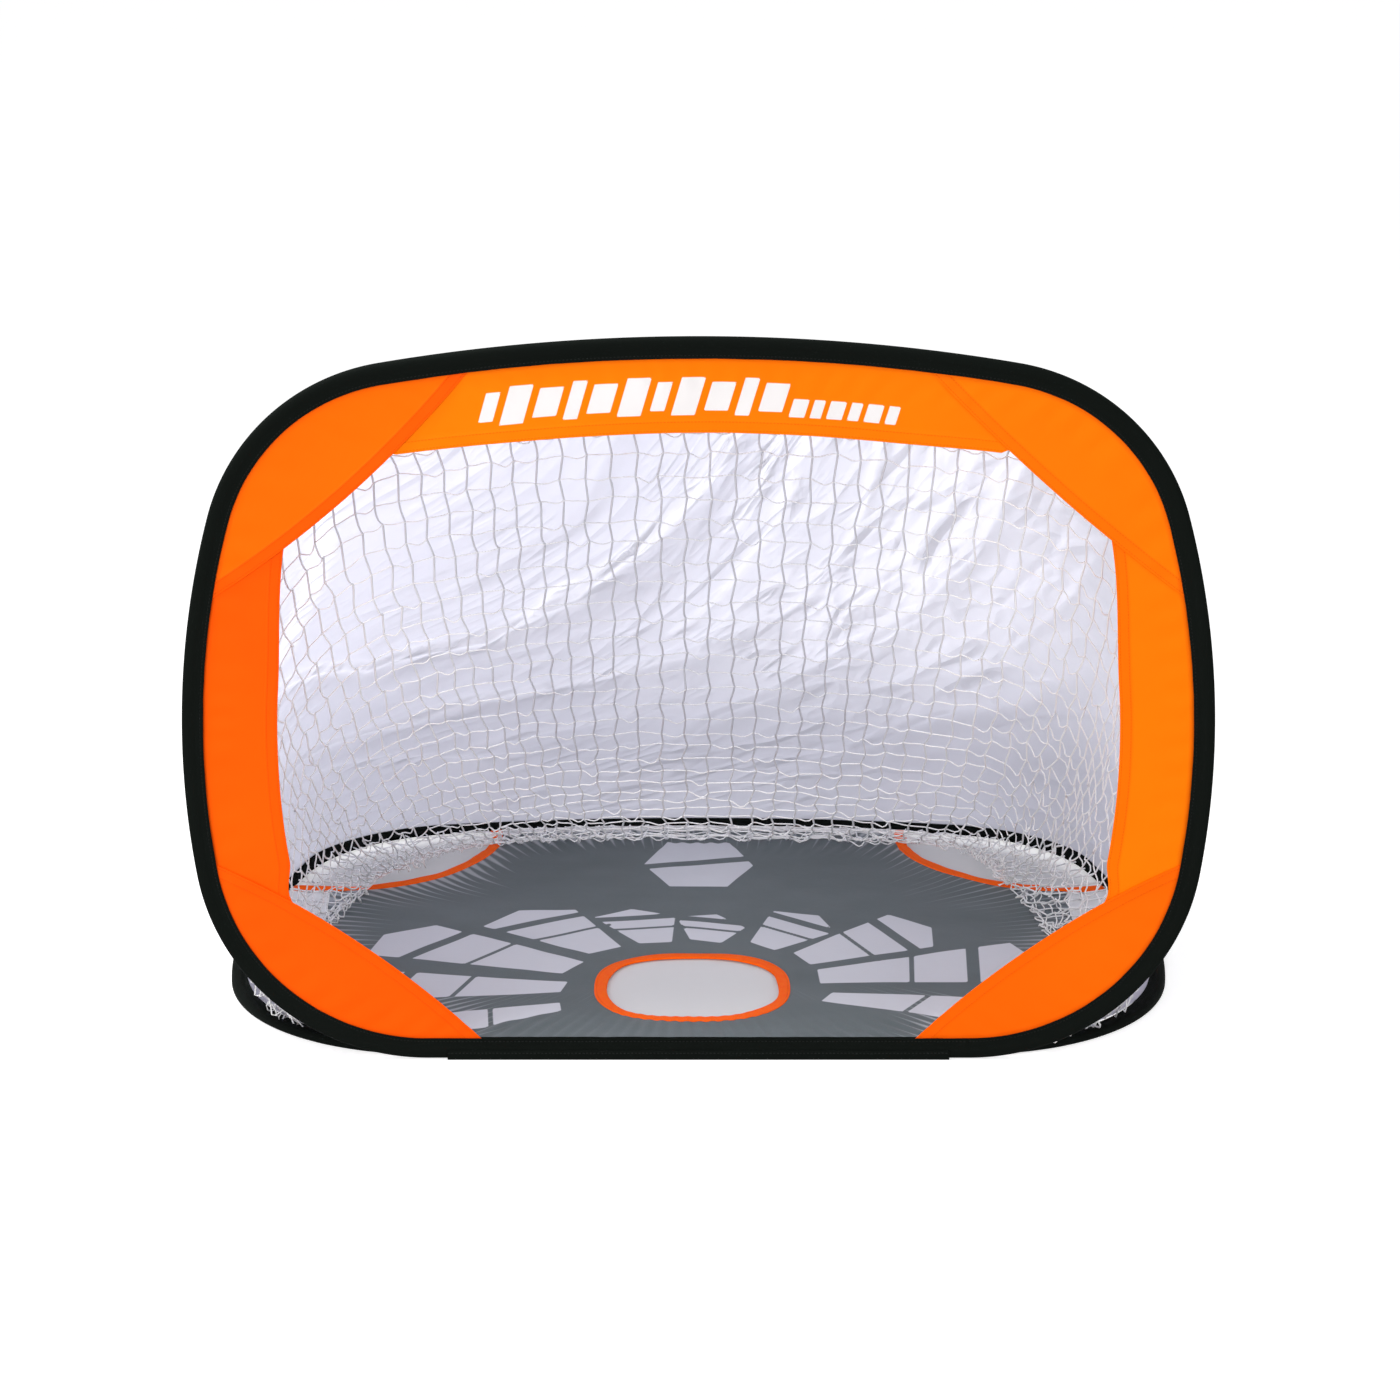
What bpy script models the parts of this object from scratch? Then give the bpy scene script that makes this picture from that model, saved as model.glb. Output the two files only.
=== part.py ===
"""Pop-up hockey goal: two spring hoops in tape sleeves, hinged along the front floor edge.

Metres, +Z up, +X to the right as seen from the shooter, +Y towards the back of the goal. The origin is on the
ground under the middle of the goal's box. Both loops have one outline: the front loop stands up, the floor loop
lies flat behind it, and the front loop folds back onto the floor loop about an axis along X.
"""

import math

import bmesh
import bpy
from mathutils import Vector

# The loop's outline: a straight foot, then on each side a foot corner, a bulging side, a head corner and a crown
LOOP_WIDTH = 0.914
LOOP_HEIGHT = 0.663
WIDEST_HEIGHT = 0.288
SIDE_RADIUS = 0.78
CROWN_RADIUS = 1.64
FOOT_CORNER_RADIUS = 0.205
HEAD_CORNER_RADIUS = 0.191
FOOT_STEPS = 9
SIDE_STEPS = 7
HEAD_STEPS = 9
CROWN_STEPS = 5

# Clearance between pieces that touch, and between the two frames along the hinge
GAP = 0.0003
HINGE_GAP = 0.0003

# Folded tape sleeve: a channel, closed at the outside, whose lips hold the fabric
SLEEVE_WIDTH = 0.019
SLEEVE_THICKNESS = 0.009
SLEEVE_WALL = 0.0011
SLEEVE_EDGE_CHAMFER = 0.0009
CHANNEL_WIDTH = 0.0088
LIP_SLOPE = 0.0037
LIP_WALL = 0.001
TUCK = 0.0058

# Spring strip inside each sleeve, and the crimped ferrule over its two ends
HOOP_WIDTH = 0.004
HOOP_THICKNESS = 0.0012
HOOP_END_GAP = 0.0006
FERRULE_WALL = 0.0006
FERRULE_LENGTH = 0.04

# Fabric of the front: single cloth, and doubled along the hems
CLOTH = 0.0005
HEM_THICKNESS = 0.0008
HEM_WIDTH = 0.011
BAND_WIDTH = 0.0653
TOP_BAND_END = math.radians(68)
SIDE_BAND_HEAD = math.radians(30)
SIDE_BAND_FOOT = math.radians(-48)
BAND_END_OVERCUT = math.radians(2)
HEAD_GUSSET_SIDE = math.radians(10.5)
HEAD_GUSSET_CROWN = math.radians(83.2)
HEAD_GUSSET_BULGE = 0.013
FOOT_GUSSET_SIDE = math.radians(-7.5)
FOOT_GUSSET_REACH = 0.192
FOOT_GUSSET_BULGE = 0.014
GUSSET_EDGE_STEPS = 8

# Tape that joins the front frame to the floor frame along the straight foot
HINGE_TAPE_LENGTH = 0.456
HINGE_TAPE_THICKNESS = 0.0007
HINGE_TAPE_RISE = 0.0085

# Printed panel in the floor frame, with a hole low in the middle and one in each corner
PANEL = 0.0008
FIVE_HOLE_WIDTH = 0.164
FIVE_HOLE_DEPTH = 0.155
FIVE_HOLE_FRONT = 0.0895
FIVE_HOLE_OFFSET = -0.006
FIVE_HOLE_POWER = 2.6
FIVE_HOLE_STEPS = 32
REAR_HOLE_RADIUS = 0.151
REAR_HOLE_ANGLE = math.radians(47)
FRONT_HOLE_RADIUS = 0.139
FRONT_HOLE_ANGLE = math.radians(-45)
CORNER_HOLE_STEPS = 14
BINDING_WIDTH = 0.012
BINDING_WALL = 0.0006
BINDING_CLEARANCE = 0.0012

# Net between the two loops: it hangs from the front loop, lands on the panel and runs out to the floor sleeve
NET_STRAND = 0.0024
NET_COLUMNS = 32
NET_ROWS = 9
NET_START = math.radians(-66)
NET_LANDING_BACK = 0.060
NET_LANDING_SIDE = 0.088
NET_SAG = 0.022

# White cloth behind the net
SHEET = 0.001
SHEET_COLUMNS = 64
SHEET_ROWS = 18
SHEET_START = math.radians(-72)

# Its main folds: points as (across the goal, share of the way from the floor loop up to the front loop), then
# how far to each side the fold reaches and how far it stands out
FOLDS = (
    (((-0.425, 0.50), (-0.32, 0.42), (-0.165, 0.484), (-0.075, 0.582), (0.02, 0.772), (0.05, 1.0)), 0.026, 0.011),
    (((-0.43, 0.33), (-0.36, 0.254), (-0.232, 0.315), (-0.014, 0.388), (0.062, 0.468)), 0.024, 0.008),
    (((-0.09, 0.08), (0.022, 0.25), (0.088, 0.31), (0.215, 0.504), (0.292, 0.839), (0.30, 1.0)), 0.024, 0.009),
    (((0.129, 0.473), (0.2, 0.613), (0.26, 0.855), (0.28, 1.0)), 0.020, 0.007),
    (((0.10, 0.10), (0.218, 0.251), (0.326, 0.32), (0.39, 0.47)), 0.022, 0.007),
)

# Worked out from the sizes above
FRONT_SLOT = 3 * GAP + 2 * HEM_THICKNESS
FLOOR_SLOT = 2 * GAP + PANEL
HOOP_INSET = SLEEVE_WALL + 2 * GAP + FERRULE_WALL + HOOP_THICKNESS / 2
TUCKED_INSET = SLEEVE_WIDTH - TUCK
BAND_INSET = SLEEVE_WIDTH + BAND_WIDTH
TAPE_SEAT = HINGE_TAPE_THICKNESS + GAP
LOOP_DISTANCE = SLEEVE_THICKNESS / 2 + HINGE_GAP
FRONT_Y = -(LOOP_HEIGHT + HINGE_GAP - TAPE_SEAT) / 2
FRONT_FOOT = TAPE_SEAT
FLOOR_Y = FRONT_Y + LOOP_DISTANCE
FLOOR_Z = SLEEVE_THICKNESS / 2
AXIS_Y = FLOOR_Y - HINGE_GAP / 2
AXIS_Z = SLEEVE_THICKNESS + HINGE_GAP / 2
BINDING_HALF = PANEL / 2 + GAP + BINDING_WALL
HOLE_EDGE = BINDING_WALL + GAP

COLOURS = {
    "black_tape": ((0.006, 0.007, 0.006), 0.75, 0.0),
    "orange_fabric": ((1.0, 0.17, 0.0), 0.6, 0.0),
    "orange_binding": ((0.95, 0.11, 0.0), 0.65, 0.0),
    "printed_panel": ((0.085, 0.105, 0.11), 0.6, 0.0),
    "white_net": ((0.85, 0.85, 0.87), 0.7, 0.0),
    "white_cloth": ((0.75, 0.75, 0.82), 0.75, 0.0),
    "spring_steel": ((0.55, 0.56, 0.58), 0.35, 1.0),
    "ferrule_metal": ((0.62, 0.6, 0.55), 0.4, 1.0),
}


def clear_scene():
    for obj in list(bpy.data.objects):
        bpy.data.objects.remove(obj, do_unlink=True)


def new_collection(name):
    collection = bpy.data.collections.new(name)
    bpy.context.scene.collection.children.link(collection)
    return collection


def material(name):
    """The Principled material of this name, made once."""
    found = bpy.data.materials.get(name)
    if found:
        return found
    colour, roughness, metallic = COLOURS[name]
    made = bpy.data.materials.new(name)
    made.use_nodes = True
    shader = made.node_tree.nodes["Principled BSDF"]
    shader.inputs["Base Color"].default_value = (*colour, 1.0)
    shader.inputs["Roughness"].default_value = roughness
    shader.inputs["Metallic"].default_value = metallic
    made.diffuse_color = (*colour, 1.0)
    return made


def loop_arcs():
    """The right half of the loop as arcs that run into each other: centre, radius, and the normals' last angle."""
    side = Vector((LOOP_WIDTH / 2 - SIDE_RADIUS, WIDEST_HEIGHT))
    crown = Vector((0, LOOP_HEIGHT - CROWN_RADIUS))
    rise = WIDEST_HEIGHT - FOOT_CORNER_RADIUS
    reach = math.sqrt((SIDE_RADIUS - FOOT_CORNER_RADIUS) ** 2 - rise**2)
    foot = Vector((side.x + reach, FOOT_CORNER_RADIUS))
    from_side = SIDE_RADIUS - HEAD_CORNER_RADIUS
    from_crown = CROWN_RADIUS - HEAD_CORNER_RADIUS
    between = crown - side
    along = (from_side**2 - from_crown**2 + between.length_squared) / (2 * between.length)
    across = math.sqrt(from_side**2 - along**2)
    unit = between.normalized()
    head = side + along * unit + across * Vector((-unit.y, unit.x))
    foot_end, head_start, head_end = foot - side, head - side, head - crown
    return (
        (foot, FOOT_CORNER_RADIUS, math.atan2(foot_end.y, foot_end.x), FOOT_STEPS),
        (side, SIDE_RADIUS, math.atan2(head_start.y, head_start.x), SIDE_STEPS),
        (head, HEAD_CORNER_RADIUS, math.atan2(head_end.y, head_end.x), HEAD_STEPS),
        (crown, CROWN_RADIUS, math.pi / 2, CROWN_STEPS),
    )


ARCS = loop_arcs()


def facet_angles():
    """The angles of the outline's points, from the right foot to the left foot."""
    right = [-math.pi / 2]
    for _, _, last, steps in ARCS:
        first = right[-1]
        right += [first + (last - first) * step / steps for step in range(1, steps + 1)]
    return right + [math.pi - angle for angle in reversed(right[:-1])]


FACET_ANGLES = facet_angles()


def arc_point(angle, inset):
    """The right half's point whose outward normal has this angle, moved inwards by inset."""
    for centre, radius, last, _ in ARCS:
        if angle <= last:
            break
    return centre + (radius - inset) * Vector((math.cos(angle), math.sin(angle)))


def loop_point(angle, inset):
    """A point on the straight facets that every piece along the loop shares, so that their gaps stay even. The
    angle runs from -90 degrees at the right foot over the crown at 90 to 270 at the left foot."""
    if angle > math.pi / 2:
        mirrored = loop_point(math.pi - angle, inset)
        return Vector((-mirrored.x, mirrored.y))
    for before, after in zip(FACET_ANGLES, FACET_ANGLES[1:]):
        if angle <= after:
            break
    share = (angle - before) / (after - before)
    return arc_point(before, inset).lerp(arc_point(after, inset), share)


def loop_path(inset, start=-math.pi / 2, end=1.5 * math.pi):
    """The loop's outline from one angle to another."""
    between = [angle for angle in FACET_ANGLES if start < angle < end]
    return [loop_point(angle, inset) for angle in (start, *between, end)]


def loop_inset(point):
    """How far a point of the loop's plane lies inside the outline."""
    right = Vector((abs(point.x), point.y))
    for centre, radius, last, _ in ARCS:
        spoke = right - centre
        if math.atan2(spoke.y, spoke.x) <= last:
            return min(point.y, radius - spoke.length)
    return radius - spoke.length


def arc_between(start, end, bulge, steps):
    """Points on the arc from start to end that bulges to the left of that way."""
    chord = end - start
    left = Vector((-chord.y, chord.x)).normalized()
    radius = (chord.length**2 / 4 + bulge**2) / (2 * bulge)
    centre = (start + end) / 2 + (bulge - radius) * left
    half_turn = math.asin(chord.length / (2 * radius))
    middle = math.atan2(left.y, left.x)
    turns = [middle - half_turn + 2 * half_turn * step / steps for step in range(steps + 1)]
    points = [centre + radius * Vector((math.cos(turn), math.sin(turn))) for turn in turns]
    return points if (points[0] - start).length < (points[-1] - start).length else points[::-1]


def add_spline(curve, points, cyclic):
    spline = curve.splines.new("POLY")
    spline.points.add(len(points) - 1)
    for place, point in zip(spline.points, points):
        place.co = (point[0], point[1], 0, 1)
    spline.use_cyclic_u = cyclic


def flat_shape(name, outlines, thickness):
    """A flat piece of the given thickness, from closed outlines of which the inner ones are holes."""
    curve = bpy.data.curves.new(name, "CURVE")
    curve.dimensions = "2D"
    curve.fill_mode = "BOTH"
    curve.extrude = thickness / 2
    for outline in outlines:
        add_spline(curve, outline, True)
    return bpy.data.objects.new(name, curve)


def swept_shape(name, path, profile, cyclic=False):
    """A profile of (inward, across) points carried along a path that has its inside on the left."""
    guide_curve = bpy.data.curves.new(name + "_profile", "CURVE")
    guide_curve.dimensions = "2D"
    guide_curve.fill_mode = "NONE"
    # Blender lays the profile of a closed path on the other side from that of an open one
    side = 1 if cyclic else -1
    add_spline(guide_curve, [(side * inward, across) for inward, across in profile], True)
    guide = bpy.data.objects.new(name + "_profile", guide_curve)
    guide.hide_render = True
    guide.display_type = "WIRE"
    cutters.objects.link(guide)
    curve = bpy.data.curves.new(name, "CURVE")
    curve.dimensions = "2D"
    curve.fill_mode = "NONE"
    curve.bevel_mode = "OBJECT"
    curve.bevel_object = guide
    curve.use_fill_caps = not cyclic
    add_spline(curve, path, cyclic)
    swept = bpy.data.objects.new(name, curve)
    return swept if cyclic else as_mesh(swept)


def as_mesh(obj):
    """The same object with its curve made a mesh, and its loose caps joined on and turned outwards."""
    cutters.objects.link(obj)
    bpy.context.view_layer.update()
    graph = bpy.context.evaluated_depsgraph_get()
    mesh = bpy.data.meshes.new_from_object(obj.evaluated_get(graph))
    shape = bmesh.new()
    shape.from_mesh(mesh)
    bmesh.ops.remove_doubles(shape, verts=shape.verts, dist=1e-6)
    bmesh.ops.recalc_face_normals(shape, faces=shape.faces)
    shape.to_mesh(mesh)
    shape.free()
    name = obj.name
    curve = obj.data
    bpy.data.objects.remove(obj, do_unlink=True)
    bpy.data.curves.remove(curve)
    return bpy.data.objects.new(name, mesh)


def cut(obj, cutter):
    cutter.hide_render = True
    cutter.display_type = "WIRE"
    cutters.objects.link(cutter)
    boolean = obj.modifiers.new("cut " + cutter.name, "BOOLEAN")
    boolean.operation = "DIFFERENCE"
    boolean.solver = "EXACT"
    boolean.object = cutter


def lay_in_front(obj, slot, across=0.0):
    """Places a shape drawn in the loop's plane in the standing front frame, across metres nearer the shooter."""
    parts.objects.link(obj)
    obj.parent = fold_axis
    obj.rotation_euler = (math.pi / 2, 0, 0)
    obj.location = (0, FRONT_Y - across - AXIS_Y, FRONT_FOOT - AXIS_Z)
    obj.data.materials.append(material(slot))
    return obj


def lay_on_floor(obj, slot, above=0.0):
    """Places a shape drawn in the loop's plane in the floor frame, above metres over its middle."""
    parts.objects.link(obj)
    obj.parent = floor_middle
    obj.location = (0, FLOOR_Y, FLOOR_Z + above)
    obj.data.materials.append(material(slot))
    return obj


def make_sleeve(name, slot):
    """A channel whose section is half an outline, from the outer edge over the slope to the lip and back inside,
    and its mirror image."""
    half = SLEEVE_THICKNESS / 2
    lip = slot / 2 + LIP_WALL
    inner = half - SLEEVE_WALL
    upper = [
        (0, half - SLEEVE_EDGE_CHAMFER),
        (SLEEVE_EDGE_CHAMFER, half),
        (CHANNEL_WIDTH, half),
        (CHANNEL_WIDTH + LIP_SLOPE, lip),
        (SLEEVE_WIDTH, lip),
        (SLEEVE_WIDTH, slot / 2),
        (CHANNEL_WIDTH + LIP_SLOPE - GAP, slot / 2),
        (CHANNEL_WIDTH - SLEEVE_WALL / 2, inner),
        (SLEEVE_WALL, inner),
    ]
    lower = [(inward, -across) for inward, across in reversed(upper)]
    return swept_shape(name, loop_path(0), upper + lower, cyclic=True)


def make_hoop(name):
    """A spring strip whose two ends meet in the middle of the foot."""
    half_width, half_thickness = HOOP_WIDTH / 2, HOOP_THICKNESS / 2
    section = [
        (half_thickness, half_width),
        (half_thickness, -half_width),
        (-half_thickness, -half_width),
        (-half_thickness, half_width),
    ]
    ends = [Vector((side * HOOP_END_GAP / 2, HOOP_INSET)) for side in (1, -1)]
    return swept_shape(name, [ends[0], *loop_path(HOOP_INSET), ends[1]], section)


def box(name, length, deep, wide):
    """A box around the strip in the middle of the foot."""
    shape = bmesh.new()
    bmesh.ops.create_cube(shape, size=1)
    bmesh.ops.scale(shape, vec=(length, deep, wide), verts=shape.verts)
    bmesh.ops.translate(shape, vec=(0, HOOP_INSET, 0), verts=shape.verts)
    mesh = bpy.data.meshes.new(name)
    shape.to_mesh(mesh)
    shape.free()
    return bpy.data.objects.new(name, mesh)


def make_ferrule(name, lay):
    """A flat tube over the strip's two ends."""
    deep = HOOP_THICKNESS + 2 * GAP
    wide = HOOP_WIDTH + 2 * GAP
    ferrule = box(name, FERRULE_LENGTH, deep + 2 * FERRULE_WALL, wide + 2 * FERRULE_WALL)
    lay(ferrule, "ferrule_metal")
    bore = box(name + "_bore", 2 * FERRULE_LENGTH, deep, wide)
    cut(ferrule, bore)
    bore.parent = ferrule.parent
    bore.location = ferrule.location
    bore.rotation_euler = ferrule.rotation_euler


def make_loop(prefix, slot, lay):
    lay(make_sleeve(prefix + "_sleeve", slot), "black_tape")
    lay(make_hoop(prefix + "_hoop"), "spring_steel")
    make_ferrule(prefix + "_hoop_ferrule", lay)


def hemmed_cloth(name, outline, single, side):
    """Cloth beside the front loop's middle plane, on the shooter's side of it where side is 1 and behind it where
    side is -1. It is doubled everywhere but inside the outline called single."""
    cloth = as_mesh(flat_shape(name, [outline], HEM_THICKNESS))
    lay_in_front(cloth, "orange_fabric", side * (GAP + HEM_THICKNESS) / 2)
    cutter = as_mesh(flat_shape(name + "_single_layer", [single], HEM_THICKNESS))
    cut(cloth, cutter)
    cutter.parent = cloth.parent
    cutter.rotation_euler = cloth.rotation_euler
    cutter.location = cloth.location - Vector((0, side * CLOTH, 0))


def ring_outline(outer_inset, inner_inset, start, end):
    """A stretch of the loop between two insets."""
    return loop_path(outer_inset, start, end) + loop_path(inner_inset, start, end)[::-1]


def make_band(name, start, end):
    """A strip of cloth along the inside of the sleeve, doubled along its free edge."""
    outline = ring_outline(TUCKED_INSET, BAND_INSET, start, end)
    single = ring_outline(0, BAND_INSET - HEM_WIDTH, start - BAND_END_OVERCUT, end + BAND_END_OVERCUT)
    hemmed_cloth(name, outline, single, -1)


def make_gusset(name, outer, bulge, side):
    """A corner piece in front of the bands: outer is its edge in the sleeve's slot, and the free edge closes it."""
    mirror = Vector((side, 1))
    edge = arc_between(outer[-1], outer[0], -bulge, GUSSET_EDGE_STEPS)
    outline = [point * mirror for point in (*outer, *edge[1:-1])]
    chord = outer[0] - outer[-1]
    outward = Vector((chord.y, -chord.x)).normalized()
    fold_line = [point + HEM_WIDTH * outward for point in edge]
    ends = [fold_line[0] - chord, fold_line[-1] + chord]
    far = [end + LOOP_WIDTH * outward for end in reversed(ends)]
    single = [point * mirror for point in (ends[0], *fold_line, ends[1], *far)]
    hemmed_cloth(name, outline, single, 1)


def make_gussets():
    head = loop_path(TUCKED_INSET, HEAD_GUSSET_SIDE, HEAD_GUSSET_CROWN)
    foot_start = Vector((FOOT_GUSSET_REACH, TUCKED_INSET))
    foot = [foot_start, *loop_path(TUCKED_INSET, -math.pi / 2, FOOT_GUSSET_SIDE)]
    for word, side in (("left", -1), ("right", 1)):
        make_gusset(f"top_{word}_gusset", head, HEAD_GUSSET_BULGE, side)
        make_gusset(f"bottom_{word}_gusset", foot, FOOT_GUSSET_BULGE, side)


def make_hinge_tape():
    """A tape under the front sleeve's foot, turned up over its face, and reaching the floor sleeve's edge."""
    half = SLEEVE_THICKNESS / 2
    outline = [
        (-half, -TAPE_SEAT),
        (half + TAPE_SEAT, -TAPE_SEAT),
        (half + TAPE_SEAT, HINGE_TAPE_RISE),
        (half + GAP, HINGE_TAPE_RISE),
        (half + GAP, -GAP),
        (-half, -GAP),
    ]
    tape = flat_shape("hinge_tape", [outline], HINGE_TAPE_LENGTH)
    parts.objects.link(tape)
    tape.parent = fold_axis
    tape.rotation_euler = (math.pi / 2, 0, -math.pi / 2)
    tape.location = (0, FRONT_Y - AXIS_Y, FRONT_FOOT - AXIS_Z)
    tape.data.materials.append(material("black_tape"))


def five_hole_path(outward):
    """The middle hole's edge, a squared oval, moved outwards."""
    middle = Vector((FIVE_HOLE_OFFSET, FIVE_HOLE_FRONT + FIVE_HOLE_DEPTH / 2))
    wide, deep = FIVE_HOLE_WIDTH / 2 + outward, FIVE_HOLE_DEPTH / 2 + outward
    points = []
    for step in range(FIVE_HOLE_STEPS):
        turn = 2 * math.pi * step / FIVE_HOLE_STEPS
        across, along = math.cos(turn), math.sin(turn)
        size = (abs(across) ** FIVE_HOLE_POWER + abs(along) ** FIVE_HOLE_POWER) ** (-1 / FIVE_HOLE_POWER)
        points.append(middle + size * Vector((wide * across, deep * along)))
    return points


def binding_profile():
    """A folded tape over the panel's edge, seen as a channel that opens away from the hole."""
    slot = PANEL / 2 + GAP
    return [
        (0, BINDING_HALF),
        (0, -BINDING_HALF),
        (-BINDING_WIDTH, -BINDING_HALF),
        (-BINDING_WIDTH, -slot),
        (-BINDING_WALL, -slot),
        (-BINDING_WALL, slot),
        (-BINDING_WIDTH, slot),
        (-BINDING_WIDTH, BINDING_HALF),
    ]


def corner_centre(angle, side):
    centre = loop_point(angle, 0)
    return Vector((side * centre.x, centre.y))


def corner_hole_path(centre, hole_radius):
    """The arc of a corner hole's edge that lies clear of the sleeve, with the hole on its left."""
    count = 24 * CORNER_HOLE_STEPS
    clear = SLEEVE_WIDTH + BINDING_CLEARANCE
    turns = []
    for step in range(count):
        turn = 2 * math.pi * step / count
        spoke = Vector((math.cos(turn), math.sin(turn)))
        ends = [centre + radius * spoke for radius in (hole_radius, hole_radius + BINDING_WIDTH)]
        turns.append(min(loop_inset(end) for end in ends) > clear)
    first = next(step for step in range(count) if turns[step] and not turns[step - 1])
    length = next(step for step in range(count) if not turns[(first + step) % count]) - 1
    points = []
    for step in range(CORNER_HOLE_STEPS + 1):
        turn = 2 * math.pi * (first + length * step / CORNER_HOLE_STEPS) / count
        points.append(centre + hole_radius * Vector((math.cos(turn), math.sin(turn))))
    return points


def make_panel_and_bindings():
    outlines = [loop_path(TUCKED_INSET), five_hole_path(HOLE_EDGE)[::-1]]
    panel = lay_on_floor(as_mesh(flat_shape("target_panel", outlines, PANEL)), "printed_panel")
    ring = swept_shape("five_hole_binding", five_hole_path(0), binding_profile(), cyclic=True)
    lay_on_floor(ring, "orange_binding")
    places = (("rear", REAR_HOLE_ANGLE, REAR_HOLE_RADIUS), ("front", FRONT_HOLE_ANGLE, FRONT_HOLE_RADIUS))
    for row, angle, hole_radius in places:
        for word, side in (("left", -1), ("right", 1)):
            centre = corner_centre(angle, side)
            hole = bmesh.new()
            radius = hole_radius + HOLE_EDGE
            bmesh.ops.create_cone(
                hole, cap_ends=True, segments=4 * CORNER_HOLE_STEPS, radius1=radius, radius2=radius, depth=SLEEVE_WIDTH
            )
            mesh = bpy.data.meshes.new(f"{row}_{word}_hole")
            hole.to_mesh(mesh)
            hole.free()
            cutter = bpy.data.objects.new(mesh.name, mesh)
            cut(panel, cutter)
            cutter.parent = floor_middle
            cutter.location = (centre.x, FLOOR_Y + centre.y, FLOOR_Z)
            path = corner_hole_path(centre, hole_radius)
            arc = swept_shape(f"{row}_{word}_hole_binding", path, binding_profile())
            lay_on_floor(arc, "orange_binding")


def front_point(angle, inset, behind):
    """A point of the front loop, behind its middle plane."""
    flat = loop_point(angle, inset)
    return Vector((flat.x, FRONT_Y + behind, FRONT_FOOT + flat.y))


def floor_point(angle, inset, above):
    """A point of the floor loop, above the ground."""
    flat = loop_point(angle, inset)
    return Vector((flat.x, FLOOR_Y + flat.y, above))


def even_angles(start, inset, count):
    """Angles that part the loop from start to its mirror image into equal lengths."""
    fine = 600
    angles = [start + (math.pi - 2 * start) * step / fine for step in range(fine + 1)]
    points = [loop_point(angle, inset) for angle in angles]
    lengths = [0.0]
    for before, after in zip(points, points[1:]):
        lengths.append(lengths[-1] + (after - before).length)
    chosen = []
    for step in range(count + 1):
        wanted = lengths[-1] * step / count
        chosen.append(angles[min(range(fine + 1), key=lambda place: abs(lengths[place] - wanted))])
    return chosen


def grid_mesh(name, rows):
    """A sheet through rows of points, one row after another."""
    width = len(rows[0])
    shape = bmesh.new()
    verts = [[shape.verts.new(point) for point in row] for row in rows]
    for below, above in zip(verts, verts[1:]):
        for column in range(width - 1):
            shape.faces.new((below[column], below[column + 1], above[column + 1], above[column]))
    mesh = bpy.data.meshes.new(name)
    shape.to_mesh(mesh)
    shape.free()
    return bpy.data.objects.new(name, mesh)


def net_path(angle):
    """One upright strand: from the floor sleeve in over the panel to where it lands, then up to the front loop."""
    edge = SLEEVE_WIDTH + GAP + NET_STRAND / 2
    lying = FLOOR_Z + BINDING_HALF + GAP + NET_STRAND / 2
    sideways = abs(math.cos(angle))
    landing = NET_LANDING_BACK + (NET_LANDING_SIDE - NET_LANDING_BACK) * sideways
    top = front_point(angle, edge, FRONT_SLOT / 2 + NET_STRAND / 2)
    outer = floor_point(angle, edge, lying)
    landed = floor_point(angle, landing, lying)
    points = [outer, landed]
    for step in range(1, NET_ROWS):
        share = step / (NET_ROWS - 1)
        point = landed.lerp(top, share)
        slack = NET_SAG * math.sin(math.pi * share) * min(1.0, (top - landed).length / LOOP_HEIGHT)
        point.y -= slack
        point.z = max(lying, point.z - slack)
        points.append(point)
    return points


def make_net():
    angles = even_angles(NET_START, SLEEVE_WIDTH, NET_COLUMNS)
    columns = [net_path(angle) for angle in angles]
    net = grid_mesh("net", list(zip(*columns)))
    strands = net.modifiers.new("strands", "WIREFRAME")
    strands.thickness = NET_STRAND
    strands.use_even_offset = False
    strands.use_boundary = True
    strands.use_replace = True
    parts.objects.link(net)
    net.parent = floor_middle
    net.data.materials.append(material("white_net"))


def line_distance(point, line):
    """How far a point lies from a line of points."""
    nearest = LOOP_WIDTH
    for start, end in zip(line, line[1:]):
        way = end - start
        share = max(0.0, min(1.0, (point - start).dot(way) / way.length_squared))
        nearest = min(nearest, (point - start - share * way).length)
    return nearest


def fold_height(across, share, angle):
    """How far the cloth stands out at a place across the goal, from 0 at the floor loop to 1 at the front loop.
    It lies flat along both loops and below their widest points."""
    slant = math.sqrt(2) * LOOP_HEIGHT
    height = 0.0
    for line, half_width, stands_out in FOLDS:
        laid = [Vector((x, slant * up)) for x, up in line]
        away = line_distance(Vector((across, slant * share)), laid)
        height = max(height, stands_out * math.exp(-((away / half_width) ** 2)))
    return height * math.sin(math.pi * share) ** 0.5 * max(0.0, math.sin(angle))


def make_rear_sheet():
    """Cloth stretched from the back of the front sleeve to the top of the floor sleeve, with long slanting folds."""
    seat = LIP_WALL + GAP + SHEET / 2
    inset = SLEEVE_WIDTH - TUCK / 2
    angles = even_angles(SHEET_START, inset, SHEET_COLUMNS)
    rows = []
    for row in range(SHEET_ROWS + 1):
        share = row / SHEET_ROWS
        points = []
        for angle in angles:
            low = floor_point(angle, inset, FLOOR_Z + FLOOR_SLOT / 2 + seat)
            high = front_point(angle, inset, FRONT_SLOT / 2 + seat)
            point = low.lerp(high, share)
            outward = Vector((math.cos(angle), math.sin(angle), math.sin(angle))).normalized()
            points.append(point + fold_height(point.x, share, angle) * outward)
        rows.append(points)
    sheet = grid_mesh("rear_sheet", rows)
    thick = sheet.modifiers.new("thickness", "SOLIDIFY")
    thick.thickness = SHEET
    thick.offset = 0
    parts.objects.link(sheet)
    sheet.parent = floor_middle
    sheet.data.materials.append(material("white_cloth"))


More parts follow.
